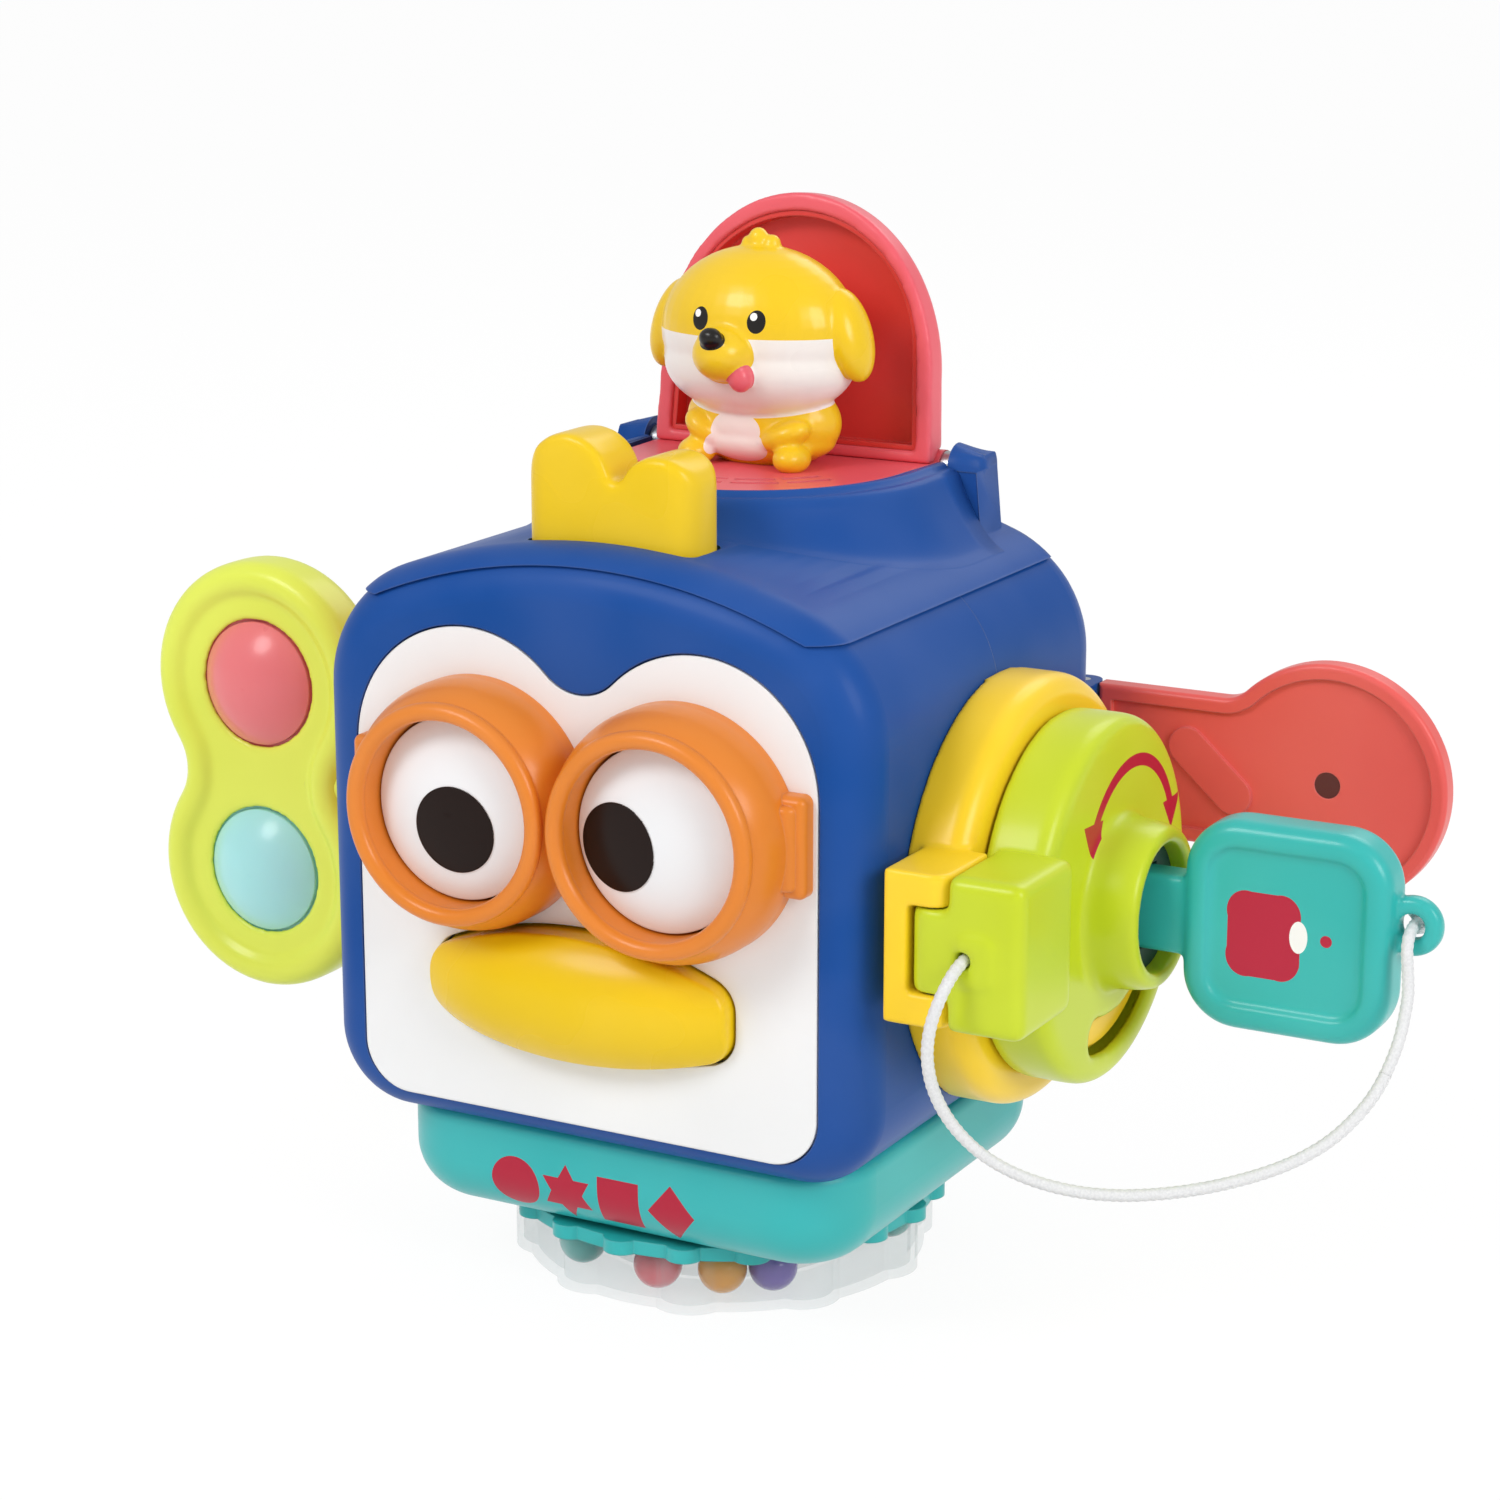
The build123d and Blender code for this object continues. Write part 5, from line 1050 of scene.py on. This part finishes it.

# %% [markdown]
# The cord is one length in two pieces: the long run between the door and
# the rotor, and the end between the rotor and the key. A small knot, which
# the photograph doesn't show, ends it at the ring.

FUZZ = 0.5
braid_white, braid_out = blank("white_braided_polyester")
yarn_place = add_node(braid_white, "ShaderNodeTexCoord").outputs["Object"]
fuzz = add_node(braid_white, "ShaderNodeTexNoise", {
    "Vector": yarn_place, "Scale": per_metre(FUZZ), "Detail": 3.0,
})
yarn = add_node(braid_white, "ShaderNodeMix", {
    0: fuzz.outputs["Fac"], 6: to_linear("#CFD0D2"), 7: to_linear("#F4F4F4"),
}, data_type="RGBA")
yarn_bump = add_node(braid_white, "ShaderNodeBump", {
    "Height": fuzz.outputs["Fac"], "Strength": 0.4, "Distance": 0.1 * MM,
})
yarn_surface = add_node(braid_white, "ShaderNodeBsdfPrincipled", {
    "Base Color": yarn.outputs[2], "Roughness": 0.75, "Normal": yarn_bump.outputs["Normal"],
    "Sheen Weight": 0.3,
})
braid_white.node_tree.links.new(yarn_surface.outputs["BSDF"], braid_out.inputs["Surface"])
for piece in (cord_body, cord_tail):
    piece.data.materials.append(braid_white)

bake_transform(cord_body)
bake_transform(cord_tail)
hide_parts("key_cord")

KNOT_CENTRE = Vector((161.0, 5.0, 98.9)) * MM
KNOT_LOOP = 0.78 * MM
KNOT_YARN = 1.9 * MM
KNOT_STEPS = 96
trefoil = []
for step in range(KNOT_STEPS + 1):
    turn = 2 * math.pi * step / KNOT_STEPS
    trefoil.append(KNOT_CENTRE + Vector((
        math.sin(turn) + 2 * math.sin(2 * turn),
        -1.4 * math.sin(3 * turn),
        math.cos(turn) - 2 * math.cos(2 * turn),
    )) * KNOT_LOOP)
knot = braid_tube("cord_end_knot", trefoil, thick=KNOT_YARN)
knot.data.materials.append(braid_white)
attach(knot, "key")
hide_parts("cord_knot")
print("cord runs", round(line_length(long_run), 4), "and", round(line_length(end_run), 4), "m")

# %% [markdown]
# Three large soft lamps stand in for the photographer's light box: one from
# the front left, one from the right and a weaker one from behind.

# %% Lamps
def lamp(name, place, aim, watts, size):
    """A round soft lamp that looks at this place."""
    light = bpy.data.lights.new(name, "AREA")
    light.shape = "DISK"
    light.size = size
    light.energy = watts
    holder = bpy.data.objects.new(name, light)
    holder.location = place
    holder.rotation_euler = (Vector(aim) - Vector(place)).to_track_quat("-Z", "Y").to_euler()
    bpy.context.scene.collection.objects.link(holder)
    return holder


lamp("key_softbox", (-0.5, -1.1, 1.1), (0, 0, 0.12), 8.0, 0.6)
lamp("side_softbox", (1.3, -0.5, 0.8), (0, 0, 0.12), 8.2, 0.7)
lamp("back_softbox", (0.1, 1.2, 1.2), (0, 0, 0.12), 4.0, 0.9)

# %% [markdown]
# The room lights the toy a little from all sides. The camera sees plain
# white behind the toy and through clear plastic, and gloss mirrors a share.

# %% The room's light
ROOM_LEVEL = 0.58
MIRRORED_LEVEL = 0.25
world = bpy.data.worlds.new("studio")
bpy.context.scene.world = world
world.use_nodes = True
world.node_tree.nodes.clear()
world_out = add_node(world, "ShaderNodeOutputWorld")
path = add_node(world, "ShaderNodeLightPath")
mirrored = add_node(world, "ShaderNodeMath", {
    0: path.outputs["Is Glossy Ray"], 1: MIRRORED_LEVEL,
}, operation="MULTIPLY")
seen = add_node(world, "ShaderNodeMath", {
    0: path.outputs["Is Camera Ray"], 1: mirrored.outputs["Value"],
}, operation="MAXIMUM")
seen = add_node(world, "ShaderNodeMath", {
    0: seen.outputs["Value"], 1: path.outputs["Is Transmission Ray"],
}, operation="MAXIMUM")
room = add_node(world, "ShaderNodeBackground", {"Color": to_linear("#FFFFFF"), "Strength": ROOM_LEVEL})
paper = add_node(world, "ShaderNodeBackground", {"Color": to_linear("#FFFFFF"), "Strength": 1.0})
blend = add_node(world, "ShaderNodeMixShader", {
    0: seen.outputs["Value"], 1: room.outputs["Background"], 2: paper.outputs["Background"],
})
world.node_tree.links.new(blend.outputs["Shader"], world_out.inputs["Surface"])
print("room level:", ROOM_LEVEL)

# %% [markdown]
# The floor is matt white paper. It glows a little only where the camera, clear
# plastic or gloss looks at it, so it stays white and keeps the toy's shadow.

# %% The paper floor
FLOOR_SIZE = 24.0
FLOOR_Z = -0.0003
PAPER_WHITE = "#F6F6F6"
LOOKED_AT_LEVEL = 0.9
PAPER_LEVEL = 1.03
sweep = bmesh.new()
half = FLOOR_SIZE / 2
edges = ((-half, -half), (half, -half), (half, half), (-half, half))
sweep.faces.new([sweep.verts.new((x, y, FLOOR_Z)) for x, y in edges])
floor_mesh = bpy.data.meshes.new("paper_floor")
sweep.to_mesh(floor_mesh)
sweep.free()
floor = bpy.data.objects.new("paper_floor", floor_mesh)
bpy.context.scene.collection.objects.link(floor)
paper_material, paper_out = blank("matt_paper")
light_path = add_node(paper_material, "ShaderNodeLightPath")
direct = add_node(paper_material, "ShaderNodeMath", {
    0: light_path.outputs["Is Camera Ray"], 1: light_path.outputs["Is Transmission Ray"],
}, operation="MAXIMUM")
direct = add_node(paper_material, "ShaderNodeMath", {
    0: direct.outputs["Value"], 1: light_path.outputs["Is Glossy Ray"],
}, operation="MAXIMUM")
looked_at = add_node(paper_material, "ShaderNodeMath", {
    0: direct.outputs["Value"], 1: LOOKED_AT_LEVEL,
}, operation="MULTIPLY")
matt = add_node(paper_material, "ShaderNodeBsdfDiffuse", {"Color": to_linear(PAPER_WHITE)})
white = add_node(paper_material, "ShaderNodeEmission", {
    "Color": to_linear("#FFFFFF"), "Strength": PAPER_LEVEL,
})
mixed = add_node(paper_material, "ShaderNodeMixShader", {
    0: looked_at.outputs["Value"], 1: matt.outputs["BSDF"], 2: white.outputs["Emission"],
})
paper_material.node_tree.links.new(mixed.outputs["Shader"], paper_out.inputs["Surface"])
floor.data.materials.append(paper_material)
print("paper floor:", FLOOR_SIZE, "m square")
